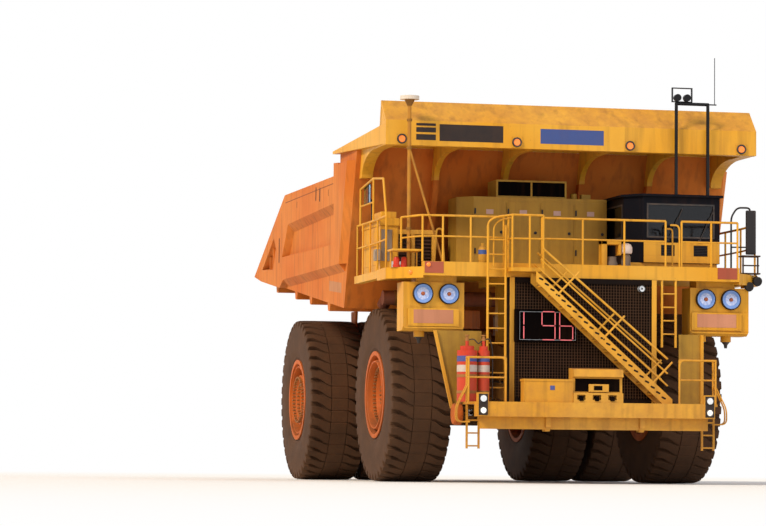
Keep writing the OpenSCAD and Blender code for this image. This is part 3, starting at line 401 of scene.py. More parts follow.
def boxes(low, high):
    """Boxes between low and high corners: corner = low + (high - low) * (0 or 1 along each axis)."""
    low, high = np.atleast_2d(low).astype(float), np.atleast_2d(high).astype(float)
    step = np.array([[i >> 2 & 1, i >> 1 & 1, i & 1] for i in range(8)])
    points = low[:, None] + (high - low)[:, None] * step
    sides = np.array([[0, 1, 3, 2], [4, 6, 7, 5], [0, 4, 5, 1], [2, 3, 7, 6], [0, 2, 6, 4], [1, 5, 7, 3]])
    faces = sides[None] + 8 * np.arange(len(low))[:, None, None]
    return points.reshape(-1, 3), faces.reshape(-1, 4).tolist()


def oval(half_w, half_h, lean=0.0, sides=20):
    """Straight-sided oval: half_w cos a across, half_w sin a + or - (half_h - half_w) along, turned by lean."""
    a = (np.arange(sides) + 0.5) * 2 * np.pi / sides
    across, along = half_w * np.cos(a), half_w * np.sin(a) + np.sign(np.sin(a)) * (half_h - half_w)
    return np.stack(
        [across * np.cos(lean) - along * np.sin(lean), across * np.sin(lean) + along * np.cos(lean)], 1)


def slab(outline, axis, low, high, centres=((0, 0),)):
    """An outline carried along an axis from low to high at each centre: point = centre + outline, and then
    its place on the axis. A clockwise outline is turned round."""
    outline = np.asarray(outline, float)
    if np.sum(outline[:, 0] * np.roll(outline[:, 1], -1) - outline[:, 1] * np.roll(outline[:, 0], -1)) < 0:
        outline = outline[::-1]
    flat = np.atleast_2d(np.asarray(centres, float))[:, None] + outline
    points, faces = prisms(*(np.insert(flat, axis, place, 2) for place in (low, high)))
    return points, [face[::-1] for face in faces] if axis == 1 else faces


weld_bead = enamel("rusted weld bead", "#8a4a22", "#7a4220", "#6f4028", 0.3, 0.7)
# Painted shade: cut slots are drawn as thin near-black sheets on the face, dark where a hole's shade would be.
shadow_slot = enamel("painted shade in cut slots", "#1c120c", "#1c120c", "#3a2416", 0.15, 0.8, 0.1, 0.1)
stencil_ghost = enamel("thinned patch of paint", "#b9784a", "#c08658", "#9a6240", 0.2, 0.6, 0.6, 0.4)
rib_x, plate_x = 4.3, 4.15
beads = np.array([  # low y, low z, high y, high z
    [1.2, 6.492, 6.60, 6.510], [2.955, 4.72, 2.967, 5.150], [2.755, 4.72, 2.767, 5.150],
    [7.10, 5.0, 7.112, 6.3]])
side_cuts = [  # outline, and its centres in y and z: lifting slots, hook cuts, tail slot
    (oval(0.045, 0.16, 0.06), [[3.06, 6.42], [2.63, 6.37]]),
    (oval(0.016, 0.075), [[5.23, 6.35], [1.71, 6.34]]),
    (oval(0.05, 0.30), [[7.32, 5.42]]),
]
bare_patch = [[0.95, 4.09], [2.22, 4.20], [2.22, 4.43], [0.95, 4.31]]
for side, hand in (("right", -1), ("left", 1)):
    face = np.sort([hand * (rib_x - 0.0012), hand * (rib_x + 0.0006)])
    strips = boxes(np.insert(beads[:, :2], 0, face[0], 1), np.insert(beads[:, 2:], 0, face[1], 1))
    piece(f"body_weld_beads_{side}", [strips], weld_bead, body="bed")
    # The slots are painted shade: dark ovals 1.8 mm thick laid on the side's face, not holes.
    cuts = [slab(outline, 0, *face, centres) for outline, centres in side_cuts]
    piece(f"body_side_slots_{side}", cuts, shadow_slot, body="bed")
    patch = slab(bare_patch, 0, *np.sort([hand * (plate_x - 0.001), hand * (plate_x + 0.0015)]))
    piece(f"body_bare_patch_{side}", [patch], stencil_ghost, body="bed")
ejector = [[6.10, 3.95], [6.62, 3.95], [6.55, 3.3], [6.46, 2.5], [6.36, 2.32], [6.26, 2.5], [6.20, 3.3]]
bars = [slab(ejector, 0, *np.sort([hand * 2.635, hand * 2.69])) for hand in (-1, 1)]
piece("rock_ejectors", bars, body_orange, bevel=0.008, body="bed")

# Canopy: a folded face with a sloped rock guard over it, a sheet back to the front wall, curved
# gussets below and a thin wing each side down to the body's rail; welded plate, sprayed yellow.
face_edge = [[-2.81, 6.98], [-2.60, 6.98], [-2.60, 7.05], [-2.73, 7.05], [-2.73, 7.47]]
seat_edge = [[-0.541, 7.1515], [-0.521, 7.1515]]
lip_edge = [[-2.37, 7.95], [-2.81, 7.50]]
end_outline = face_edge + [[-2.39, 7.82], [-2.27, 7.24], [-0.541, 7.24]] + seat_edge
end_outline += [[-0.521, 7.32], [-2.20, 7.32], [-2.34, 7.95]] + lip_edge
roof_outline = face_edge + [[-2.39, 7.86], [-2.27, 7.84], [-0.541, 7.51]] + seat_edge
roof_outline += [[-0.521, 7.59], [-2.20, 7.915], [-2.34, 7.943]] + lip_edge
canopy_stations = [
    (-4.05, end_outline), (-3.62, end_outline), (-3.27, roof_outline), (3.27, roof_outline),
    (3.62, end_outline), (4.05, end_outline)]


def lofted(stations):
    """Outlines in (y, z) with as many points each, joined in order at their places x: point = (x, outline)."""
    points = np.concatenate([np.insert(np.asarray(outline, float), 0, x, 1) for x, outline in stations])
    n, rows = len(stations[0][1]), len(stations)
    i = np.arange(n)
    wall = np.stack([i, (i + 1) % n, (i + 1) % n + n, i + n], -1)
    walls = (wall + n * np.arange(rows - 1)[:, None, None]).reshape(-1, 4)
    return points, walls.tolist() + [i[::-1].tolist(), (i + n * (rows - 1)).tolist()]


arc = np.radians(np.arange(90, -1, -9))
wall_at = 0.31 - (6.48 - 4.73) * 0.85 / 2.42  # y of the front wall at z 6.48: it leans 0.85 m over 2.42 m
curve = [
    [-2.725, 7.0], [-2.62, 6.985],
    *np.stack([-1.70 + (1.70 + wall_at - 0.23) * np.cos(arc), 6.481 + 0.505 * np.sin(arc)], 1),
    [wall_at - 0.001, 6.481]]
end_gusset = [
    [-0.541, 7.152], [-0.501, 7.152], [-0.501, 7.238], [-2.28, 7.238], [-2.41, 7.78], [-2.725, 7.45], *curve]
roof_gusset = [[-0.541, 7.152], [-0.501, 7.152], [-0.501, 7.515], [-2.38, 7.85], [-2.725, 7.46], *curve]
canopy_parts = [lofted(canopy_stations)]
for hand in (-1, 1):
    for gusset, x0, x1 in ((roof_gusset, 0.80, 0.92), (roof_gusset, 2.34, 2.46), (end_gusset, 3.80, 4.049)):
        canopy_parts.append(slab(gusset, 0, *np.sort([hand * x0, hand * x1])))
    points, faces = boxes([4.02, -2.78, 7.0], [4.05, 1.30, 7.44])
    points[:, 2] = np.where(points[:, 1] > 0, np.where(points[:, 2] > 7.2, 7.215, 7.155), points[:, 2])
    points[:, 0] = np.where((points[:, 1] > 0) & (points[:, 0] > 4.03), 4.30, points[:, 0])
    if hand < 0:
        points, faces = points * [-1, 1, 1], [face[::-1] for face in faces]
    canopy_parts.append((points, faces))
canopy = piece("canopy_shell", canopy_parts, machine_yellow, bevel=0.006, body="bed")
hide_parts("canopy")

# Marks on the canopy's face: three dark bars and two bare rectangles, sprayed over a mask, so
# each is a skin of paint 3 mm thick. They wear as the enamel under them does.
mark_y, mark_thick = -2.8132, 0.003


def corners(x, y, z):
    """One corner a row, (x, y, z), where a single number stands for the whole column."""
    return np.stack(np.broadcast_arrays(x, y, z), 1)


def boxed(name, low, high, finish, bevel=None, body="chassis"):
    """A piece made of boxes between low and high corners."""
    return piece(name, [boxes(low, high)], finish, bevel=bevel, body=body)


marks = {
    "canopy_bars": ("worn black marking paint", "#231d1d", [
        (-3.40, -2.98, 7.397, 7.450), (-3.40, -2.98, 7.262, 7.364), (-3.40, -2.98, 7.100, 7.219),
        (-2.90, -1.53, 7.09, 7.44)]),
    "canopy_blue_field": ("worn blue marking paint", "#3a4f86", [(-0.72, 0.66, 7.10, 7.41)]),
}
for name, (paint, tone, fields) in marks.items():
    x0, x1, z0, z1 = np.array(fields).T
    mark_paint = enamel(paint, tone, tone, "#8a6238", 0.05, 0.5, 0.3, 0.1)
    low, high = corners(x0, mark_y, z0), corners(x1, mark_y + mark_thick, z1)
    boxed(name, low, high, mark_paint, body="bed")

# Lamps on the canopy's face: each amber lens sits in a moulded rubber collar, on a square steel
# plate with four bolts.
FORWARD = [0, -1, 0]
canopy_lamp_x = [-3.708, -1.236, 1.236, 3.708]
canopy_lamp_z = 7.110
collar = [[0.104, 0.0], [0.104, 0.038], [0.098, 0.044], [0.080, 0.044], [0.074, 0.038], [0.074, 0.0]]


def fluted(name, colour, rough, ior, ribs, deep, glow=()):
    """A moulded lens whose inside is ribbed from top to bottom: ribs sets their number, deep their height in
    metres, and glow is the colour and strength of its light."""
    made = finish_named(name)
    at = add(made, "TexCoord").outputs["Object"]
    wave = add(made, "TexWave", {"Vector": at, "Scale": ribs}, bands_direction="X").outputs[1]
    flute = add(made, "Bump", {"Height": wave, "Strength": 0.4, "Distance": deep})
    shell = add(
        made, "BsdfPrincipled", {"Base Color": linear(colour), "Roughness": rough, "IOR": ior, "Normal": flute})
    if glow:
        shell.inputs["Emission Color"].default_value = linear(glow[0])
        shell.inputs["Emission Strength"].default_value = glow[1]
    add(made, "OutputMaterial", {"Surface": shell})
    return made


amber = fluted("moulded amber acrylic", "#f2802a", 0.18, 1.49, 30.0, 0.003, ("#f2802a", 0.35))
coat(amber, "canopy_lamps")


def clouded(name, kind, pattern, span, shell, tones=()):
    """A finish with one texture of a kind, brought to a span by a MapRange node. It moves the colour between
    two tones, or where none are given it is the roughness. shell holds the shader's other inputs."""
    made = finish_named(name)
    pattern = add(made, kind, {"Vector": add(made, "TexCoord").outputs["Object"], **pattern})
    share = add(made, "MapRange", {"Value": pattern, **span})
    if tones:
        mixed = add(made, "Mix", {0: share, 6: linear(tones[0]), 7: linear(tones[1])}, data_type="RGBA")
        shell["Base Color"] = mixed.outputs[2]
    else:
        shell["Roughness"] = share
    add(made, "OutputMaterial", {"Surface": add(made, "BsdfPrincipled", shell)})
    return made


rubber_ring = clouded(
    "moulded black rubber", "TexNoise", {"Scale": 6.0, "Detail": 6.0},
    {"From Min": 0.35, "From Max": 0.75, "To Max": 0.5}, {"Roughness": 0.62, "IOR": 1.52},
    ("#1b1918", "#5e4430"))
for side, xs in (("right", canopy_lamp_x[:2]), ("left", canopy_lamp_x[2:])):
    rings = [turned(collar, [x, -2.81, canopy_lamp_z], FORWARD) for x in xs]
    piece(f"canopy_lamp_collars_{side}", rings, rubber_ring, 35, body="bed")
    low = np.array([[x - 0.125, -2.818, canopy_lamp_z - 0.120] for x in xs])
    bolts = np.array([
        [x + i * 0.105 - 0.009, -2.827, canopy_lamp_z + k * 0.100 - 0.009]
        for x in xs for i in (-1, 1) for k in (-1, 1)])
    pads = [boxes(low, low + [0.25, 0.0085, 0.24]), boxes(bolts, bolts + [0.018, 0.012, 0.018])]
    piece(f"canopy_lamp_plates_{side}", pads, machine_yellow, bevel=0.002, body="bed")

# Radiator: a soot-dark core behind woven wire mesh of 60 mm pitch, which is clipped before the
# upright bars in a folded edge, dark with oil and earth. A small round lamp sits in the mesh.
core_black = enamel("soot-dark core enamel", "#0e0a08", "#120c0a", "#281a14", 0.2, 0.9, 0.2, 0.1, 1.2)
coat(core_black, "radiator")
mesh_wire = enamel("earth-brown wire", "#3a2619", "#43301f", "#5f4029", 0.3, 0.8, 0.3, 0.2, 1.3)
black_enamel = enamel("black bracket enamel", "#121214", "#1a1a1d", "#453227", 0.1, 0.5, 0.2, 0.1, 1.35)
wire = 0.0055
wire_x = np.arange(-1.44, 1.4401, 0.060)
wire_z = np.arange(1.80, 4.12, 0.060)
mesh_y = [-3.580, -3.566]
upright = boxes(corners(wire_x - wire, mesh_y[0], 1.76), corners(wire_x + wire, mesh_y[0] + 0.012, 4.13))
level = boxes(corners(-1.48, mesh_y[1], wire_z - wire), corners(1.48, mesh_y[1] + 0.007, wire_z + wire))
piece("radiator_mesh", [upright, level], mesh_wire)
boxed(
    "radiator_post_faces", [[-1.582, -3.604, 1.66], [1.478, -3.604, 1.66]],
    [[-1.478, -3.590, 4.236], [1.582, -3.590, 4.236]], machine_yellow, bevel=0.004)
lamp_ring = [[0.078, 0.0], [0.078, 0.018], [0.070, 0.024], [0.062, 0.018], [0.062, 0.0]]
eye = [turned(lamp_ring, [1.25, -3.64, 4.05], FORWARD, 32),
       turned([[0.02, 0.0], [0.02, 0.006], [0.0, 0.008]], [1.25, -3.641, 4.05], FORWARD, 16)]
piece("guard_lamp_ring", eye, black_enamel, 35)

# Load display: a sealed black box with rows of red lamps behind a clear face. The figures are
# made of straight strokes, and any load could stand there.
stroke, corner_gap = 0.018, 0.026
figure_w, figure_h, figure_z = 0.28, 0.29, 2.955
first_shift = 0.22
strokes = {  # low x and z, high x and z, in steps of a figure's width and half its height
    "top": (0, 2, 1, 2), "upper_left": (0, 1, 0, 2), "upper_right": (1, 1, 1, 2), "middle": (0, 1, 1, 1),
    "lower_left": (0, 0, 0, 1), "lower_right": (1, 0, 1, 1), "bottom": (0, 0, 1, 0)}
figures = {  # x of each figure's left edge, and its lit strokes
    -1.352 - first_shift: ["upper_right", "lower_right"],
    -0.905: ["top", "upper_left", "upper_right", "middle", "lower_right", "bottom"],
    -0.525: ["top", "upper_left", "middle", "lower_left", "lower_right", "bottom"],
}
low, high = [], []
for left, lit_strokes in figures.items():
    for x0, z0, x1, z1 in (strokes[key] for key in lit_strokes):
        in_x, in_z = (corner_gap, 0) if x1 > x0 else (0, corner_gap)
        x, z = left + np.array([x0, x1]) * figure_w, figure_z + np.array([z0, z1]) * figure_h
        low.append([x[0] - stroke / 2 + in_x, -3.648, z[0] - stroke / 2 + in_z])
        high.append([x[1] + stroke / 2 - in_x, -3.6405, z[1] + stroke / 2 - in_z])
red_shell = {"Roughness": 0.3, "Emission Color": linear("#e8606c"), "Emission Strength": 0.3}
red_light = clouded(
    "red lamp strokes", "TexVoronoi", {"Scale": 60.0}, {"From Max": 0.6, "To Min": 1.0, "To Max": 0.72},
    red_shell, ("#9c3034", "#f0787c"))
piece("display_figures", [boxes(low, high)], red_light)
display_black = enamel("display housing enamel", "#060404", "#080505", "#1a100b", 0.06, 0.7, 0.2, 0.1, 1.08)


def barred(y, z, posts):
    """A frame square to Y: a bar from z[0] to z[1], one from z[2] to z[3], and between them a post for each
    low and high x. The first post is the leftmost and the last the rightmost."""
    bars = [(posts[0][0], z[0], posts[-1][1], z[1]), (posts[0][0], z[2], posts[-1][1], z[3])]
    x0, z0, x1, z1 = np.array(bars + [(low, z[1], high, z[2]) for low, high in posts]).T
    return boxes(corners(x0, y[0], z0), corners(x1, y[1], z1))


housing = barred((-3.645, -3.590), (2.905, 2.95, 3.53, 3.575), [(-1.49, -1.38), (-0.18, -0.16)])
window = boxes([-1.375, -3.6425, 2.955], [-0.185, -3.640, 3.525])
piece("display_housing", [housing, window], display_black, bevel=0.003)

# Air cleaner lamps: a chromed bowl behind a clear face, with the bulb's shield in the middle,
# held by a bolted ring. The face's blue is a painted sky reflection, the bowl's pale tone a painted highlight.
lamp_places = [(x, -3.25, 3.88) for x in (-3.335, -2.78, 2.78, 3.335)]
bezel = [[0.216, -0.040], [0.216, 0.020], [0.209, 0.028], [0.197, 0.028], [0.190, 0.020], [0.190, -0.002]]
rim_of_glass = [[0.191, 0.021], [0.165, 0.019], [0.135, 0.013], [0.128, 0.009]]
bowl = [[0.128, 0.009], [0.10, 0.0065], [0.07, 0.0045], [0.03, 0.0035], [0.0, 0.0035]]
shield = [[0.042, 0.0], [0.042, 0.016], [0.036, 0.024], [0.024, 0.029], [0.010, 0.031], [0.0, 0.031]]
# The glass's blue tones are a painted reflection of the sky, not a coating.
painted_sky_lens = finish_named("lamp glass with painted sky reflection")
at = add(painted_sky_lens, "TexCoord").outputs["Object"]
rib = add(painted_sky_lens, "TexWave", {"Vector": at, "Scale": 18.0}, bands_direction="X").outputs[1]
flute = add(painted_sky_lens, "Bump", {"Height": rib, "Strength": 0.5, "Distance": 0.003})
soft = add(painted_sky_lens, "TexNoise", {"Vector": at, "Scale": 5.0, "Detail": 4.0})
tone = add(painted_sky_lens, "Mix", {0: soft, 6: linear("#456fb4"), 7: linear("#7897cb")}, data_type="RGBA").outputs[2]
shell = add(painted_sky_lens, "BsdfPrincipled", {
    "Base Color": tone, "Roughness": 0.16, "Metallic": 0.35, "IOR": 1.5, "Normal": flute, "Coat Weight": 0.6})
add(painted_sky_lens, "OutputMaterial", {"Surface": shell})
# The chromed bowl is real; its pale blue-white tones are a painted highlight and sky reflection.
painted_highlight_bowl = clouded(
    "lamp bowl with painted highlight", "TexVoronoi", {"Scale": 22.0}, {}, {"Metallic": 0.6, "Roughness": 0.2},
    ("#b3b7c8", "#7686b0"))
shield_brown = enamel("bulb shield enamel", "#a5583c", "#b86a48", "#7d4a34", 0.1, 0.3, 0.2, 0.1)
lamp_layers = (
    ("rings", bezel, 48, black_enamel, "black_paint"), ("glass", rim_of_glass, 48, painted_sky_lens, "lamp_lens"),
    ("bowls", bowl, 48, painted_highlight_bowl, "lamp_lens"), ("shields", shield, 24, shield_brown, "amber_lens"))
for side, places in (("right", lamp_places[:2]), ("left", lamp_places[2:])):
    for layer, profile, sides, finish, slot in lamp_layers:
        layers = [turned(profile, p, FORWARD, sides) for p in places]
        piece(f"large_lamp_{layer}_{side}", layers, finish, 40)

# Plates under the large lamps: bare sheet plates on a folded bracket, screwed at the corners.
plate_paint = enamel("sun-pinked plate enamel", "#c98a6a", "#b97a5a", "#8f5d3a", 0.12, 0.5, 0.3, 0.2)
for side, x0, x1, z0, z1 in (("right", -3.53, -2.69, 3.27, 3.55), ("left", 2.59, 3.45, 3.29, 3.57)):
    backing = boxes(
        [[x0 - 0.12, -3.245, z0 - 0.03], [x0 - 0.12, -3.245, z0 - 0.06]],
        [[x1 + 0.12, -3.225, z1 + 0.03], [x1 + 0.12, -3.09, z0 - 0.03]])
    piece(f"plate_bracket_{side}", [backing], machine_yellow, bevel=0.004)
    plate = boxes([x0, -3.251, z0], [x1, -3.2445, z1])
    piece(f"bare_plate_{side}", [plate], plate_paint, bevel=0.002)

# Air cleaners: a folded tray under each box, door seams, and dust valves of soft rubber below.
trays = boxes([[2.47, -3.235, 3.165], [-3.72, -3.235, 3.165]], [[3.72, -3.199, 3.195], [-2.47, -3.199, 3.195]])
seams = boxes(
    [[2.452, -3.2035, 3.62], [-3.738, -3.2035, 3.62]], [[3.738, -3.1995, 3.632], [-2.452, -3.1995, 3.632]])
piece("cleaner_trays", [trays, seams], machine_yellow, bevel=0.003)
UPWARD = [0, 0, 1]
valve = [[0.0, -0.13], [0.028, -0.13], [0.040, -0.06], [0.085, -0.005], [0.09, 0.0], [0.0, 0.0]]
valves = [turned(valve, [hand * x, -2.9, 3.0], UPWARD, 20) for hand in (-1, 1) for x in (2.78, 3.335)]
piece("dust_valves", valves, rubber_ring, 40)

# Bumper lamp boxes: a black face plate let into each end, a clear lamp over a lit one, in rubber.
# The hood in the middle holds a small box with a dark window behind it, and three slots.
clear_lens = fluted("clear polycarbonate lens", "#dfe5ea", 0.12, 1.58, 24.0, 0.003)
coat(clear_lens, "lamps")
lamp_face = np.array([[2.305, -4.6285, 1.375], [-2.495, -4.6285, 1.375]])
boxed(
    "bumper_lamp_plates", lamp_face, lamp_face + [0.19, 0.010, 0.43], black_enamel, bevel=0.002)
rim_profile = [[0.083, 0.0], [0.083, 0.016], [0.078, 0.021], [0.067, 0.021], [0.062, 0.016], [0.062, 0.0]]
rings = [turned(rim_profile, [x, -4.6285, z], FORWARD) for x in (-2.4, 2.4) for z in (1.47, 1.71)]
piece("bumper_lamp_rings", rings, rubber_ring, 40)
lit = fluted("lit lamp glass", "#f4f1e6", 0.15, 1.5, 26.0, 0.002, ("#fff8e4", 0.5))
dome = [[0.058, -0.01], [0.058, 0.0], [0.04, 0.008], [0.02, 0.011], [0.0, 0.0115]]
for side, x in (("right", -2.4), ("left", 2.4)):
    piece(f"bumper_lamp_lit_{side}", [turned(dome, [x, -4.638, 1.47], FORWARD)], lit, 40)
# Painted shade: a near-black panel fills the hood's recess behind the small box, and near-black blocks fill its
# three slots.
boxed(
    "hood_recess_painted_shade",
    [[-0.44, -4.512, 1.88], [-0.375, -4.601, 1.685], [-0.045, -4.601, 1.685], [0.285, -4.601, 1.685]],
    [[0.50, -4.500, 2.14], [-0.285, -4.515, 1.785], [0.045, -4.515, 1.785], [0.375, -4.515, 1.785]],
    display_black, bevel=0.002)
boxed("hood_inner_box", [-0.16, -4.56, 1.87], [0.26, -4.505, 2.03], machine_yellow, bevel=0.006)
boxed(
    "hood_inner_window", [-0.06, -4.566, 1.905], [0.12, -4.5595, 1.995], display_black,
    bevel=0.003)
blue_pad = enamel("worn blue pad enamel", "#2f4f96", "#3c5c9c", "#8a6238", 0.04, 0.4, 0.3, 0.1)
boxed("box_blue_pad", [-0.98, -4.546, 1.90], [-0.88, -4.5395, 1.99], blue_pad, bevel=0.003)
boxed(
    "box_lid_and_edges", [[-1.535, -4.552, 2.075], [-1.535, -4.548, 1.66], [-0.515, -4.548, 1.66]],
    [[-0.490, -4.240, 2.122], [-1.515, -4.5385, 2.075], [-0.495, -4.5385, 2.075]], machine_yellow,
    bevel=0.004)

# Guard plates before the front wheels: folded sheet on a diagonal stay, which on the right carries
# an orange drum at the bumper's end.
# The drab is machine yellow darkened as painted shade, for parts that stand under the deck and the canopy.
painted_shade_drab = enamel("drab yellow with painted shade", "#b58a2a", "#a9822c", "#7a552f", 0.22)
sheet = [slab([[-3.12, 3.12], [-2.78, 1.56], [-2.13, 1.66], [-2.13, 3.12]], 1, -3.41, -3.395),
         slab([[2.13, 3.12], [2.13, 1.66], [2.62, 1.66], [2.62, 3.12]], 1, -3.41, -3.395)]
piece("wheel_guard_plates", sheet, painted_shade_drab, bevel=0.004)
stays = [slab([[-3.16, 3.12], [-2.79, 1.52], [-2.72, 1.52], [-3.09, 3.12]], 1, -3.46, -3.41),
         slab([[2.60, 3.12], [2.60, 1.66], [2.66, 1.66], [2.66, 3.12]], 1, -3.46, -3.41)]
piece("wheel_guard_stays", stays, machine_yellow, bevel=0.006)
drum_profile = [
    [0.0, -0.02], [0.215, -0.02], [0.222, 0.0], [0.222, 0.11], [0.20, 0.14], [0.10, 0.155], [0.0, 0.158]]
drum_end = turned(drum_profile, [-2.70, -3.86, 1.40], [-1, 0, 0], 40)
piece("bumper_end_drum", [drum_end], rim_enamel, 35)

# Deck: checker plate with a rubbed grip pattern, and two blank reflector plates riveted to the
# front beam.
beam_plates = boxes(
    [[2.93, -3.568, 4.29], [-3.38, -3.568, 4.29]], [[3.36, -3.5585, 4.525], [-2.98, -3.5585, 4.525]])
red_reflector = enamel("faded red reflector sheet", "#a04a34", "#b25f45", "#8a5a3a", 0.1, 0.4, 0.3, 0.2)
piece("beam_reflector_plates", [beam_plates], red_reflector, bevel=0.002)
lozenge_x, lozenge_y = np.meshgrid(np.arange(-3.35, 3.36, 0.10), np.arange(-3.34, -2.30, 0.10))
flip = (np.arange(lozenge_x.size) + np.repeat(np.arange(lozenge_x.shape[0]), lozenge_x.shape[1])) % 2
cx, cy = lozenge_x.ravel(), lozenge_y.ravel()
keep = (np.abs(cx + 3.61) > 0.1) & ~((cx > 1.15) & (cy > -2.95)) & ~((cx < -2.45) & (cy > -2.0))
cx, cy, flip = cx[keep], cy[keep], flip[keep]


def lozenges(x, y, z, turn, length, width, height):
    """Raised grip marks, each a low six-sided bead with its ends at +-length / 2 along its turn and its sides
    at +-width / 2 across it. The top is 0.7 of the base."""
    outline = np.array([[-1, 0], [-0.45, -1], [0.45, -1], [1, 0], [0.45, 1], [-0.45, 1]]) * [
        length / 2, width / 2]
    c, s = np.cos(turn)[:, None], np.sin(turn)[:, None]
    px = x[:, None] + outline[:, 0] * c - outline[:, 1] * s
    py = y[:, None] + outline[:, 0] * s + outline[:, 1] * c
    base = np.stack([px, py, np.full_like(px, z - 0.001)], -1)
    top = np.stack(
        [x[:, None] + (px - x[:, None]) * 0.7, y[:, None] + (py - y[:, None]) * 0.7, np.full_like(px, z + height)],
        -1)
    return prisms(base, top, floor=False)


grip = lozenges(cx, cy, 4.400, np.where(flip == 0, 0.6, -0.6), 0.07, 0.02, 0.004)
piece("deck_grip_marks", [grip], machine_yellow)

# Hoses and cables: rubber hose in clips, along the frame's rails. Each is one tube along a route
# with rounded corners.
def rounded(route, bend):
    """A route with its corners cut to curves: (1 - t)^2 a + 2 t (1 - t) corner + t^2 b, where a and b lie
    bend along the two legs, or at most half a leg."""
    route = np.asarray(route, float)
    parts = [route[:1]]
    t = np.linspace(0, 1, 7)[:, None]
    for before, here, after in zip(route[:-2], route[1:-1], route[2:]):
        a = here + (before - here) * min(0.5, bend / np.linalg.norm(before - here))
        b = here + (after - here) * min(0.5, bend / np.linalg.norm(after - here))
        parts.append((1 - t) ** 2 * a + 2 * t * (1 - t) * here + t ** 2 * b)
    return np.concatenate(parts + [route[-1:]])


def tube(path, radius, sides=10):
    """Round tube: each ring is path + radius * (side * cos a + up * sin a), side and up square to the path."""
    path = np.asarray(path, float)
    ahead = np.gradient(path, axis=0)
    ahead /= np.linalg.norm(ahead, axis=1)[:, None]
    guess = np.eye(3)[np.argmin(np.abs(ahead).max(0))]
    side = np.cross(ahead, guess)
    side /= np.linalg.norm(side, axis=1)[:, None]
    up = np.cross(side, ahead)
    a = np.arange(sides) * 2 * np.pi / sides
    points = path[:, None] + radius * (side[:, None] * np.cos(a)[:, None] + up[:, None] * np.sin(a)[:, None])
    last = (len(path) - 1) * sides
    ends = [list(range(sides)), list(range(last + sides - 1, last - 1, -1))]
    return points.reshape(-1, 3), skin(len(path), sides) + ends


hose_y, hose_z = [-1.5, 0.9, 2.3, 4.0, 5.2, 6.2], [2.30, 2.42, 2.62, 2.75, 3.05, 3.15]
rail_hoses = []
for hand in (-1, 1):
    for k in range(3):
        x, drop = hand * (1.118 + 0.012 * (k == 1)), 0.09 * k
        route = corners(x, hose_y, np.array(hose_z) - drop)
        rail_hoses.append(tube(rounded(route, 0.4), 0.020))
    down = np.array([[1.12, 0.6, 2.2], [1.35, 0.7, 2.25], [1.45, 0.3, 2.6], [1.62, 0.1, 2.95]])
    rail_hoses.append(tube(rounded(down * [hand, 1, 1], 0.25), 0.022))
piece("rail_hoses", rail_hoses, rubber_ring, 50)
clip_y = np.repeat(np.arange(-1.2, 5.9, 0.71), 2)
clip_x = np.tile([-1.145, 1.100], len(clip_y) // 2)
clip_z = np.interp(clip_y, hose_y, hose_z)
boxed(
    "hose_clips", corners(clip_x, clip_y - 0.02, clip_z - 0.22),
    corners(clip_x + 0.045, clip_y + 0.02, clip_z + 0.04), frame_enamel, bevel=0.003)

# Exhaust: thin rolled pipe, faded pink by heat, with an elbow on the right and flat bands round
# the silencer.
hot_duct = enamel("heat-faded duct enamel", "#8a4f3a", "#a4654c", "#6f4330", 0.2, 0.65)
coat(hot_duct, "exhaust")
elbow = tube(rounded([[-3.3, 0.16, 3.95], [-3.3, 0.27, 3.95], [-3.34, 0.42, 3.80]], 0.2), 0.133, 24)
piece("exhaust_elbow", [elbow], hot_duct, 40)


def flat_ring(inner, outer, low, high):
    """Profile of a flat ring to be turned: a rectangle from radius inner to outer and height low to high."""
    return [[inner, low], [outer, low], [outer, high], [inner, high]]


band = flat_ring(0.158, 0.166, -0.03, 0.03)
bands = [turned(band, [x, -0.1, 3.95], [1, 0, 0], 40) for x in (-3.2, -2.5, -1.8, -1.1, -0.5)]
piece("silencer_bands", bands, zinc, 40)

# Fire bottles: sprayed steel bottles with a blue and a white band, plated valves, two straps
# each, and a hose between them.
bottle_red = enamel("red bottle enamel", "#c8301c", "#d24a34", "#a5603f", 0.08, 0.28)
coat(bottle_red, "fire_bottles")
chalk_white = enamel("chalked white enamel", "#d8cfc6", "#c9b8a8", "#96704f", 0.1, 0.5, 0.3, 0.2)
bottle_places = [(-2.555, -3.88, 0.205), (-2.2, -3.85, 0.125)]
for colour, finish, z0, z1 in (("blue", blue_pad, 2.47, 2.585), ("white", chalk_white, 2.26, 2.40)):
    wraps = [
        turned(flat_ring(r + 0.0005, r + 0.003, z0, z1), [x, y, 0], UPWARD, 40)
        for x, y, r in bottle_places]
    piece(f"bottle_bands_{colour}", wraps, finish, 40)
straps = [turned(flat_ring(r + 0.0005, r + 0.008, z - 0.03, z + 0.03), [x, y, 0], UPWARD, 40)
          for x, y, r in bottle_places for z in (1.85, 2.18)]
piece("bottle_straps", straps, zinc, 40)
valve = [
    [0.0, 0.0], [0.042, 0.0], [0.042, 0.05], [0.028, 0.06], [0.028, 0.10], [0.05, 0.105], [0.05, 0.125],
    [0.0, 0.125]]
valves = [turned(valve, [x, y, 2.895], UPWARD, 16) for x, y, _ in bottle_places]
piece("bottle_valves", valves, zinc, 35)
link = tube(
    rounded([[-2.51, -3.88, 2.92], [-2.42, -3.93, 2.94], [-2.33, -3.93, 2.82], [-2.24, -3.85, 2.90]], 0.09),
    0.012)
down = tube(
    rounded([[-2.16, -3.85, 2.93], [-2.05, -3.80, 2.95], [-1.98, -3.74, 2.70], [-1.98, -3.74, 1.70]], 0.12),
    0.014)
piece("bottle_hoses", [link, down], rubber_ring, 50)

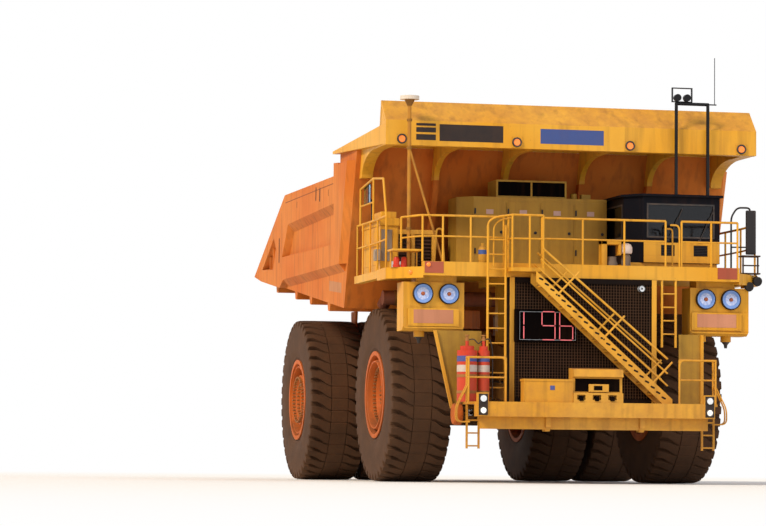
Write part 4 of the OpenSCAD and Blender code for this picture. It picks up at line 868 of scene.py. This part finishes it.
# Cab: a dark navy shell with tinted safety glass in rubber seals, wipers, and a yellow lower panel
# with a dark air slot.
# The navy is darkened almost to black as painted shade, the shade of the canopy over the cab.
navy_with_painted_shade = enamel("dark navy enamel with painted shade", "#08080f", "#0b0c13", "#241b15", 0.05, 0.5, 0.2, 0.1, 1.15)
coat(navy_with_painted_shade, "cab", "cab_door")
coat(black_enamel, "cab_interior")
tinted_glass = clouded(
    "tinted safety glass", "TexNoise", {"Scale": 4.0, "Detail": 6.0}, {"To Min": 0.02, "To Max": 0.22},
    {"Base Color": linear("#14181f"), "IOR": 1.3, "Transmission Weight": 0.8})
coat(tinted_glass, "cab_glass", "door_glass")
seal_w, seal_out = 0.035, 0.008


def seal(axis, at_, low, high, out):
    """Four strips round an opening in the plane where the axis is at_, seal_w wide and seal_out proud."""
    (u0, v0), (u1, v1) = low, high
    strips = np.array([
        (u0 - seal_w, v0 - seal_w, u1 + seal_w, v0), (u0 - seal_w, v1, u1 + seal_w, v1 + seal_w),
        (u0 - seal_w, v0, u0, v1), (u1, v0, u1 + seal_w, v1)])
    face = np.sort([at_, at_ + out * seal_out])
    return boxes(np.insert(strips[:, :2], axis, face[0], 1), np.insert(strips[:, 2:], axis, face[1], 1))


win_z = (5.21, 5.87)
seals = [seal(axis, at_, (low, win_z[0]), (high, win_z[1]), out) for axis, at_, low, high, out in (
    (1, -2.9, 1.62, 3.05, -1), (1, -0.9, 1.35, 3.05, 1), (0, 1.2, -2.38, -1.05, -1),
    (0, 3.2, -1.52, -1.02, 1), (0, 3.2, -2.77, -2.45, 1))]
piece("window_seals", seals, rubber_ring, bevel=0.003)
door_seal = seal(0, 3.2, (-2.24, win_z[0]), (-1.76, win_z[1]), 1)
piece("door_window_seal", [door_seal], rubber_ring, bevel=0.003, body="door")
hub_cap = [[0.0, 0.0], [0.035, 0.0], [0.035, 0.02], [0.02, 0.03], [0.0, 0.03]]
wipers = []
for x in (2.05, 2.75):
    wipers += [
        tube([[x, -2.915, 5.12], [x + 0.22, -2.922, 5.62]], 0.010, 8),
        tube([[x + 0.10, -2.918, 5.33], [x + 0.32, -2.918, 5.80]], 0.012, 8),
        turned(hub_cap, [x, -2.9, 5.12], FORWARD, 16)]
piece("wipers", wipers, black_enamel, 50)
lower = barred((-2.908, -2.899), (4.655, 4.80, 5.03, 5.08), [(1.52, 1.90), (2.20, 2.62), (2.93, 3.195)])
piece("cab_lower_panel", [lower], machine_yellow, bevel=0.003)
slats_z = np.arange(4.825, 5.02, 0.035)
boxed(
    "cab_air_slats", corners(1.91, -2.9065, slats_z), corners(2.92, -2.8995, slats_z + 0.015), black_enamel)

# Blower and its intake on the deck before the cab: a folded yellow bracket over a grey drab
# motor, with a chalky white cap beside it. On the other side stands a yellow bottle, blue-banded.
boxed(
    "deck_bracket", [[0.47, -3.32, 4.40], [0.47, -3.32, 4.98], [0.84, -3.32, 4.76]],
    [[0.59, -3.10, 5.07], [0.90, -3.10, 5.07], [0.90, -3.10, 4.98]], machine_yellow,
    bevel=0.006)
motor = [[0.0, 0.0], [0.115, 0.0], [0.125, 0.02], [0.125, 0.20], [0.10, 0.25], [0.10, 0.33], [0.0, 0.33]]
drum = [[0.0, 0.0], [0.09, 0.0], [0.10, 0.02], [0.10, 0.34], [0.06, 0.40], [0.0, 0.40]]
motors = [turned(motor, [0.72, -3.21, 4.40], UPWARD, 28), turned(drum, [1.03, -3.21, 4.40], UPWARD, 28)]
grey_motor = enamel("dusty grey motor enamel", "#6b6258", "#7a6d5e", "#84603f", 0.25, 0.5)
piece("deck_motors", motors, grey_motor, 35)
cap = [[0.0, 0.0], [0.12, 0.0], [0.135, 0.03], [0.135, 0.13], [0.11, 0.19], [0.05, 0.22], [0.0, 0.22]]
cap_white = enamel("chalky white cap", "#e6d9cf", "#d8bfae", "#a67c5c", 0.12, 0.5, 0.4, 0.25)
piece("deck_white_cap", [turned(cap, [1.03, -3.21, 4.80], UPWARD, 28)], cap_white, 35)
bottle = [
    [0.0, 0.0], [0.08, 0.0], [0.085, 0.02], [0.085, 0.42], [0.06, 0.48], [0.03, 0.50], [0.03, 0.55],
    [0.0, 0.55]]
bottle = turned(bottle, [-2.06, -3.18, 4.40], UPWARD, 24)
piece("deck_bottle", [bottle], machine_yellow, 35)
band_blue = enamel("blue bottle band", "#3c5a9c", "#4a68a6", "#6b5140", 0.08, 0.4, 0.2, 0.1)
band = turned(flat_ring(0.0855, 0.088, 4.86, 4.95), [-2.06, -3.18, -0.14], UPWARD, 24)
piece("deck_bottle_band", [band], band_blue, 35)

# Stair: slots cut along both stringers, plated grip strips with ribs on the treads, and the rail
# of the far side, welded tube on tube posts.
stair_top, stair_run = np.array([-1.16, 4.30]), np.array([2.86, -2.61])
t = np.linspace(0.035, 0.955, 23)[:, None]
slot_outline, slot_places = oval(0.020, 0.052, np.radians(66)), stair_top + stair_run * t + [0.0, -0.030]
# The slots are painted shade: dark ovals 1.5 mm thick on each stringer's face, not holes.
slots = [slab(slot_outline, 1, y, y + 0.0015, slot_places) for y in (-4.1207, -3.6608)]
piece("stair_slots", slots, shadow_slot)
far_rail = []
for share, radius in ((0.90, 0.022), (0.48, 0.018)):
    a = [stair_top[0] + 0.15 * share, -3.70, stair_top[1] - 0.06 + 0.56 * share]
    b = [1.70 - 0.04, -3.70, 1.69 + 0.10 + 0.79 * share]
    far_rail.append(tube([a, b], radius, 12))
for share in (0.13, 0.47, 0.83):
    foot = stair_top + stair_run * share
    far_rail.append(tube(
        [[foot[0] - 0.04, -3.70, foot[1] - 0.04], [foot[0] + 0.44, -3.70, foot[1] + 0.44]], 0.022, 8))
piece("stair_far_rail", far_rail, machine_yellow, 50)
nose_t = (np.arange(1, 12) / 12)[:, None]
nose = stair_top + stair_run * nose_t
nose_x, nose_z = nose.T
treads = boxes(corners(nose_x - 0.115, -4.08, nose_z - 0.024), corners(nose_x + 0.115, -3.70, nose_z - 0.018))
ribs_x = (nose[:, :1] + np.linspace(-0.10, 0.10, 6)).ravel()
ribs_z = np.repeat(nose_z, 6)
bars = boxes(corners(ribs_x - 0.006, -4.078, ribs_z - 0.018), corners(ribs_x + 0.006, -3.702, ribs_z - 0.008))
piece("stair_tread_grip", [treads, bars], zinc)

# Grab hoops and end loops: bent steel tube at the top of both ladders and round both bumper
# ends.
grab_routes = (  # corners of the tube's route, bend, radius
    ([[2.10, -3.53, 4.50], [2.10, -3.53, 5.40], [1.90, -3.53, 5.40]], 0.13, 0.020),
    ([[1.98, -3.43, 4.50], [1.98, -3.43, 5.33], [1.86, -3.43, 5.33]], 0.10, 0.018),
    ([[-2.08, -3.70, 5.20], [-2.08, -3.70, 5.36], [-1.94, -3.77, 5.46], [-1.62, -3.92, 5.498]], 0.13, 0.022),
    ([[-1.95, -3.66, 4.45], [-1.95, -3.66, 5.28], [-1.84, -3.70, 5.40], [-1.62, -3.80, 5.44]], 0.13, 0.018))
hoops = [tube(rounded(route, bend), radius, 12) for route, bend, radius in grab_routes]
for hand in (-1, 1):
    for y in (-4.31, -4.19):
        loop = [[hand * 2.63, y, 2.02], [hand * 2.87, y, 1.55], [hand * 2.87, y, 1.24], [hand * 2.60, y, 1.24]]
        hoops.append(tube(rounded(loop, 0.12), 0.016, 10))
    grip_end = [[hand * 1.85, -4.31, 2.30], [hand * 1.85, -4.31, 2.555], [hand * 2.10, -4.31, 2.555]]
    hoops.append(tube(rounded(grip_end, 0.14), 0.024, 12))
piece("grab_hoops", hoops, machine_yellow, 50)

# Rail round the right corner: tube like the other rails, from the front fence's end post to a post
# on the shelf, with a lower tube, a middle post and a hoop.
rail_parts = [
    tube(rounded([[-2.99, -3.52, z], [-3.44, -3.47, z], [-3.78, -3.13, z - 0.03]], 0.12), radius)
    for z, radius in ((5.48, 0.024), (5.05, 0.019))]
rail_parts.append(tube([[-3.41, -3.475, 4.531], [-3.41, -3.475, 5.47]], 0.022))
rail_parts.append(tube([[-3.78, -3.13, 4.786], [-3.78, -3.13, 5.45]], 0.022))
hoop = [[-3.12, -3.30, 4.421], [-3.07, -3.30, 5.22], [-2.95, -3.30, 5.22], [-2.90, -3.30, 4.421]]
rail_parts.append(tube(rounded(hoop, 0.06), 0.02))
piece("corner_rail", rail_parts, machine_yellow, 50)

# Left mirror: a black pressed case on a bent tube from the corner post, with the glass behind, and
# a case on the right with its glass turned out. Under the left one hangs a bracket with two lamps.
cases = boxes([[3.76, -3.00, 4.86], [-3.98, -0.90, 5.90]], [[3.98, -2.93, 5.80], [-3.92, -0.45, 6.34]])
mirror_cases = piece("mirror_cases", [cases], black_enamel, bevel=0.02)
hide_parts("mirrors")
arm = [[3.48, -2.83, 4.42], [3.48, -2.83, 5.66], [3.60, -2.86, 5.86], [3.87, -2.90, 5.86], [3.87, -2.91, 5.76]]
arms = [
    tube(rounded(arm, 0.09), 0.020, 12),
    tube(rounded([[3.48, -2.83, 5.02], [3.70, -2.88, 5.02], [3.82, -2.92, 5.02]], 0.05), 0.016, 10),
    tube(rounded([[-3.85, -0.70, 5.45], [-3.85, -0.70, 6.0], [-3.93, -0.70, 6.0]], 0.06), 0.022, 12)]
piece("mirror_arms", arms, black_enamel, 50)
silvered = clouded(
    "silvered mirror glass", "TexNoise", {"Scale": 9.0, "Detail": 6.0}, {"To Min": 0.03, "To Max": 0.3},
    {"Base Color": linear("#8fa0ae"), "Metallic": 1.0})
boxed(
    "mirror_glass", [[3.785, -2.931, 4.89], [-3.9815, -0.87, 5.93], [-3.965, -0.9015, 5.93]],
    [[3.955, -2.926, 5.77], [-3.979, -0.48, 6.31], [-3.935, -0.899, 6.31]], silvered,
    bevel=0.002)
guard_steel = enamel("dark guard enamel", "#241812", "#2c1f17", "#523424", 0.3, 0.7, 0.3, 0.2, 1.35)
boxed(
    "corner_bracket",
    [[3.60, -3.22, 4.80], [3.60, -3.22, 4.43], [3.60, -3.22, 4.43], [3.97, -3.10, 4.43], [3.60, -3.20, 4.60]],
    [[4.00, -2.95, 4.83], [3.63, -3.19, 4.82], [4.00, -3.05, 4.46], [4.00, -3.07, 4.82], [3.98, -3.18, 4.63]],
    guard_steel, bevel=0.004)
pod = [[0.0, -0.16], [0.05, -0.155], [0.085, -0.11], [0.098, -0.03], [0.102, 0.0], [0.094, 0.01], [0.0, 0.012]]
pods = [turned(pod, c, [0.12, -0.96, -0.25], 28) for c in ([3.74, -3.26, 4.16], [3.96, -3.16, 4.28])]
pods += [
    tube([[3.74, -3.20, 4.24], [3.74, -3.14, 4.45]], 0.016, 8),
    tube([[3.96, -3.10, 4.34], [3.94, -3.08, 4.45]], 0.016, 8)]
piece("corner_lamp_pods", pods, black_enamel, 40)

# Right corner: a shelf plate over two red beacons on the deck's corner, with two small amber lamps
# on its front; folded sheet and moulded lenses.
boxed(
    "corner_shelf", [[-4.02, -3.40, 4.745], [-3.99, -3.05, 4.42], [-3.44, -3.05, 4.42]],
    [[-3.40, -2.92, 4.785], [-3.96, -3.01, 4.745], [-3.41, -3.01, 4.745]], machine_yellow,
    bevel=0.005)
beacon = [[0.0, 0.0], [0.075, 0.0], [0.075, 0.05], [0.064, 0.06], [0.062, 0.17], [0.045, 0.21], [0.0, 0.225]]
beacons = [turned(beacon, [x, -3.06, 4.421], UPWARD, 24) for x in (-3.86, -3.70)]
piece("corner_beacons", beacons, bottle_red, 35)
marker = [[0.045, 0.0], [0.045, 0.02], [0.03, 0.035], [0.0, 0.04]]
markers = [turned(marker, place, FORWARD, 20) for place in ([-3.63, -3.34, 4.31], [-3.30, -3.56, 4.46])]
piece("marker_lamps", markers, amber, 40)

# Control cabinet: four sheet doors with a pressed panel, a latch and two hinges each, and a bare
# label. The unit on top has two framed screens.
# The cabinet's drab yellow is painted shade from the canopy over it.
coat(painted_shade_drab, "control_cabinet")
cabinet_y = -1.507
door_edges = np.array([[-1.82, -1.108], [-1.092, -0.358], [-0.342, 0.392], [0.408, 1.13]])
door_x0, door_x1 = door_edges.T
door_x = door_edges.mean(1)
boxed(
    "cabinet_doors", corners(door_x0 + 0.03, cabinet_y, 4.62), corners(door_x1 - 0.03, -1.4995, 5.98),
    painted_shade_drab, bevel=0.006)
hinge_x, hinge_z = np.repeat(door_x0 + 0.02, 2), np.tile([4.85, 5.70], 4)
fittings = boxes(corners(hinge_x, -1.522, hinge_z), corners(hinge_x + 0.03, -1.5, hinge_z + 0.12))
latch = [[0.032, 0.0], [0.032, 0.018], [0.012, 0.022], [0.0, 0.022]]
latches = [turned(latch, [x - 0.10, cabinet_y, 5.32], FORWARD, 16) for x in door_x1]
piece("cabinet_fittings", [fittings, *latches], black_enamel, 40)
label_paint = enamel("faded label film", "#c9a79a", "#bd9683", "#94684a", 0.1, 0.5, 0.3, 0.2)
boxed(
    "cabinet_labels", corners(door_x - 0.08, -1.5095, 5.70), corners(door_x + 0.08, cabinet_y, 5.80),
    label_paint)
frame_bars = barred((-1.412, -1.40), (6.07, 6.11, 6.41, 6.45), [(-1.30, -1.26), (-0.54, -0.50), (0.22, 0.26)])
piece("top_unit_frame", [frame_bars], painted_shade_drab, bevel=0.004)
boxed(
    "top_unit_screens", [[-1.26, -1.405, 6.11], [-0.50, -1.405, 6.11]],
    [[-0.54, -1.4, 6.41], [0.22, -1.4, 6.41]], display_black)

# Grid box: a tall narrow cabinet with a stepped lid at the deck's corner, a screened filter in
# its face, and behind it the black grille of the retarding grid in a yellow frame.
corner_box = boxes(
    [[-3.95, -1.95, 4.402], [-3.97, -1.98, 5.36], [-3.93, -1.92, 5.52],
     [-3.958, -1.80, 4.55], [-3.958, -0.95, 4.55], [-3.68, -1.962, 4.50]],
    [[-3.56, -0.25, 5.36], [-3.54, -0.22, 5.52], [-3.60, -1.10, 5.66],
     [-3.94, -1.05, 5.25], [-3.94, -0.35, 5.25], [-3.58, -1.94, 5.30]])
grille_frame = barred(
    (-0.90, -0.82), (4.402, 4.50, 5.27, 5.37), [(-3.45, -3.37), (-3.03, -2.95), (-2.58, -2.50)])
sill = boxes([-3.45, -0.82, 4.402], [-2.50, -0.02, 4.42])
grid = piece("grid_box_cases", [corner_box, grille_frame, sill], machine_yellow, bevel=0.008)
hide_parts("grid_box")
slat = [[-0.88, 0.0], [-0.83, 0.045], [-0.82, 0.045], [-0.87, 0.0]]
slat_places = [[0, z] for z in np.arange(4.53, 5.25, 0.075)]
slats = [slab(slat, 0, x, x + 0.37, slat_places) for x in (-3.38, -2.95)]
# Painted shade: a solid dark box fills the grid box behind the slats, where its inside lies in shade.
case = boxes([-3.44, -0.815, 4.42], [-2.51, -0.03, 5.36])
piece("grid_louvres_and_painted_shade", [*slats, case], guard_steel)
filter_grey = enamel("galvanised filter screen", "#a89a88", "#978672", "#7a583c", 0.3, 0.6, 0.4, 0.6)
pleat = [[0.0, -1.958], [0.012, -1.970], [0.024, -1.958]]
pleat_places = [[x, 0] for x in np.arange(-3.93, -3.72, 0.026)]
pleats = [slab(pleat, 2, 4.62, 5.28, pleat_places)]
piece("filter_screen", pleats, filter_grey)
boxed(
    "side_case", [[-4.06, -2.02, 4.62], [-4.072, -1.99, 4.66]], [[-3.96, -1.80, 4.86], [-4.06, -1.83, 4.82]],
    filter_grey, bevel=0.01)

# Tanks: the fuel tank on the right and the oil drum on the left, rolled and welded plate. The
# fuel tank is the node's own shape drawn in towards the frame: x = inner face + (x - inner face) * 0.78.
tank_mesh = nodes["tanks"].data.copy()
merging = bmesh.new()
merging.from_mesh(tank_mesh)
bmesh.ops.remove_doubles(merging, verts=merging.verts, dist=0.0001)
merging.to_mesh(tank_mesh)
merging.free()
places = np.empty(len(tank_mesh.vertices) * 3)
tank_mesh.vertices.foreach_get("co", places)
places = places.reshape(-1, 3)
places[:, 0] = np.where(places[:, 0] < -1.75, -1.75 + (places[:, 0] + 1.75) * 0.78, places[:, 0])
tank_mesh.vertices.foreach_set("co", places.ravel())
tank_mesh.materials.clear()
tank_mesh.materials.append(machine_yellow)
tank_shells = bpy.data.objects.new("tank_shells", tank_mesh)
bpy.context.scene.collection.objects.link(tank_shells)
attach(tank_shells, "chassis")
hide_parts("tanks")
band_outline = [
    [2.70, 1.20], [2.70, 2.92], [2.84, 3.075], [4.21, 3.075], [4.325, 2.71], [4.325, 1.34], [4.16, 1.125],
    [2.84, 1.125]]
tank_bands = [slab(band_outline, 0, x, x + 0.07) for x in (-2.83, -2.05)]
piece("fuel_tank_bands", tank_bands, frame_enamel, bevel=0.004)
oil_bands = [turned(flat_ring(0.652, 0.664, -0.04, 0.04), [2.5, y, 2.0], [0, 1, 0], 48) for y in (3.0, 4.05)]
piece("oil_tank_bands", oil_bands, frame_enamel, 40)
tank_cap = [
    [0.0, -0.02], [0.105, -0.02], [0.112, 0.0], [0.112, 0.045], [0.095, 0.06], [0.03, 0.062], [0.0, 0.062]]
caps = [turned(tank_cap, [-2.49, 3.0, 3.135], UPWARD, 28), turned(tank_cap, [2.5, 3.1, 2.765], UPWARD, 28)]
glass = [[0.06, 0.0], [0.06, 0.015], [0.045, 0.02], [0.0, 0.02]]
gauges = [turned(glass, [-3.001, y, 2.2], [-1, 0, 0], 24) for y in (3.2, 3.8)]
piece("tank_caps", caps + gauges, zinc, 40)

# Suspension: two plated collars and a charging valve on each front cylinder, and moulded rubber
# boots round the rear ones.
collar = flat_ring(0.235, 0.262, 0.0, 0.07)
charging_valve = [[0.0, 0.0], [0.05, 0.0], [0.05, 0.05], [0.03, 0.09], [0.0, 0.09]]
fold_z = np.arange(9) * 0.02
boot = np.stack([np.where(np.arange(9) % 2, 0.150, 0.134), fold_z], 1)
collars, boots = [], []
for hand in (-1, 1):
    collars += [turned(collar, [hand * 1.95, 0, z], UPWARD, 40) for z in (2.55, 3.22)]
    collars.append(turned(charging_valve, [hand * 1.95, 0, 3.52], UPWARD, 16))
    boots.append(turned(boot, [hand * 0.35, 6.85, 2.76], UPWARD, 32))
piece("suspension_collars", collars, zinc, 40)
piece("suspension_boots", boots, rubber_ring, 30)

# Engine: a cast iron block in dark enamel, oily and matt, with ribbed covers along both banks,
# filters, and a coolant pipe each side up to the radiator.
engine_iron = enamel("oily dark casting", "#33302c", "#3d3630", "#5a4030", 0.2, 0.5)
coat(engine_iron, "engine")
engine_parts = []
for hand in (-1, 1):
    for y in np.arange(-2.6, 0.5, 0.42):
        low, high = np.sort([hand * 0.64, hand * 0.70])
        engine_parts.append(boxes([low, y, 2.95], [high, y + 0.34, 3.38]))
    low, high = np.sort([hand * 0.64, hand * 0.68])
    engine_parts.append(boxes([low, -2.7, 2.10], [high, 0.5, 2.75]))
piece("engine_covers", engine_parts, engine_iron, bevel=0.015)
filter_can = [[0.0, 0.0], [0.07, 0.0], [0.08, 0.02], [0.08, 0.34], [0.06, 0.38], [0.0, 0.38]]
filter_places = [[hand * 0.80, y, 2.35] for hand in (-1, 1) for y in (-2.0, -1.75, -1.5)]
filters = [turned(filter_can, place, UPWARD, 24) for place in filter_places]
piece("engine_filters", filters, grey_motor, 35)
pipe_route = np.array([[0.55, -2.6, 3.5], [0.55, -2.6, 3.72], [0.75, -3.0, 3.80], [0.75, -3.22, 3.80]])
coolant = [tube(rounded(pipe_route * [hand, 1, 1], 0.16), 0.065, 20) for hand in (-1, 1)]
piece("coolant_pipes", coolant, rubber_ring, 50)

# Rear: tail lamps and a reverse lamp each side on the frame's tail, and the axle housing's round
# cover with a ring of bolts, forged and welded steel.
boxed(
    "tail_lamp_plates", [[0.80, 7.615, 3.13], [-1.06, 7.615, 3.13]],
    [[1.06, 7.632, 3.38], [-0.80, 7.632, 3.38]], black_enamel, bevel=0.004)
tail_lens = [[0.05, 0.0], [0.05, 0.02], [0.035, 0.032], [0.0, 0.036]]
tail_lamps = [turned(tail_lens, [x, 7.632, 3.31], [0, 1, 0], 24) for x in (-0.87, 0.87)]
piece("tail_lamps", tail_lamps, bottle_red, 40)
reverse = [turned(tail_lens, [x, 7.632, 3.20], [0, 1, 0], 24) for x in (-0.99, 0.99)]
piece("reverse_lamps", reverse, lit, 40)
cover_plate = [[0.0, 0.0], [0.46, 0.0], [0.46, 0.03], [0.44, 0.04], [0.30, 0.06], [0.12, 0.075], [0.0, 0.075]]
cover = [turned(cover_plate, [0, 6.905, axle_z], [0, 1, 0], 64)]
bolt_count, bolt_circle = 28, 0.415
around = np.arange(bolt_count) * 2 * np.pi / bolt_count
heads = corners(bolt_circle * np.cos(around), 6.94, axle_z + bolt_circle * np.sin(around))
cover.append(boxes(heads - [0.02, 0.01, 0.02], heads + [0.02, 0.03, 0.02]))
piece("axle_cover", cover, casting_enamel, 35)

# Masts: the left one's tubes are black, the right one's pole is yellow. On that pole the white dome
# of the receiver stands on a thin cone of cast metal, with clamps below.
mast_enamel = finish_named("two-tone mast enamel")
at = add(mast_enamel, "TexCoord").outputs["Object"]
apart = add(mast_enamel, "SeparateXYZ", {0: at})
on_left = add(mast_enamel, "Math", {0: apart.outputs[0], 1: 0.0}, operation="GREATER_THAN")
dome = add(mast_enamel, "Math", {0: apart.outputs[2], 1: 7.899}, operation="GREATER_THAN")
grime = add(mast_enamel, "TexNoise", {"Vector": at, "Scale": 3.0, "Detail": 6.0})
pole = add(
    mast_enamel, "Mix", {0: grime, 6: linear("#c98a24"), 7: linear("#8a5a2c")}, data_type="RGBA").outputs[2]
white = add(
    mast_enamel, "Mix", {0: grime, 6: linear("#efe9dc"), 7: linear("#b89d80")}, data_type="RGBA").outputs[2]
right = add(mast_enamel, "Mix", {0: dome, 6: pole, 7: white}, data_type="RGBA").outputs[2]
tone = add(mast_enamel, "Mix", {0: on_left, 6: right, 7: linear("#0d0c0e")}, data_type="RGBA").outputs[2]
shell = add(mast_enamel, "BsdfPrincipled", {"Base Color": tone, "Roughness": 0.5, "IOR": 1.28})
add(mast_enamel, "OutputMaterial", {"Surface": shell})
coat(mast_enamel, "masts")
funnel = [[0.036, -0.13], [0.045, -0.13], [0.105, -0.012], [0.105, -0.001], [0.036, -0.001]]
mast_fittings = [turned(funnel, [-3.61, -3.08, 7.90], UPWARD, 32)]
clamp = flat_ring(0.039, 0.056, 0.0, 0.05)
mast_fittings += [turned(clamp, [-3.61, -3.08, z], UPWARD, 24) for z in (5.2, 6.87, 7.45)]
piece("mast_funnel", mast_fittings, casting_enamel, 35)
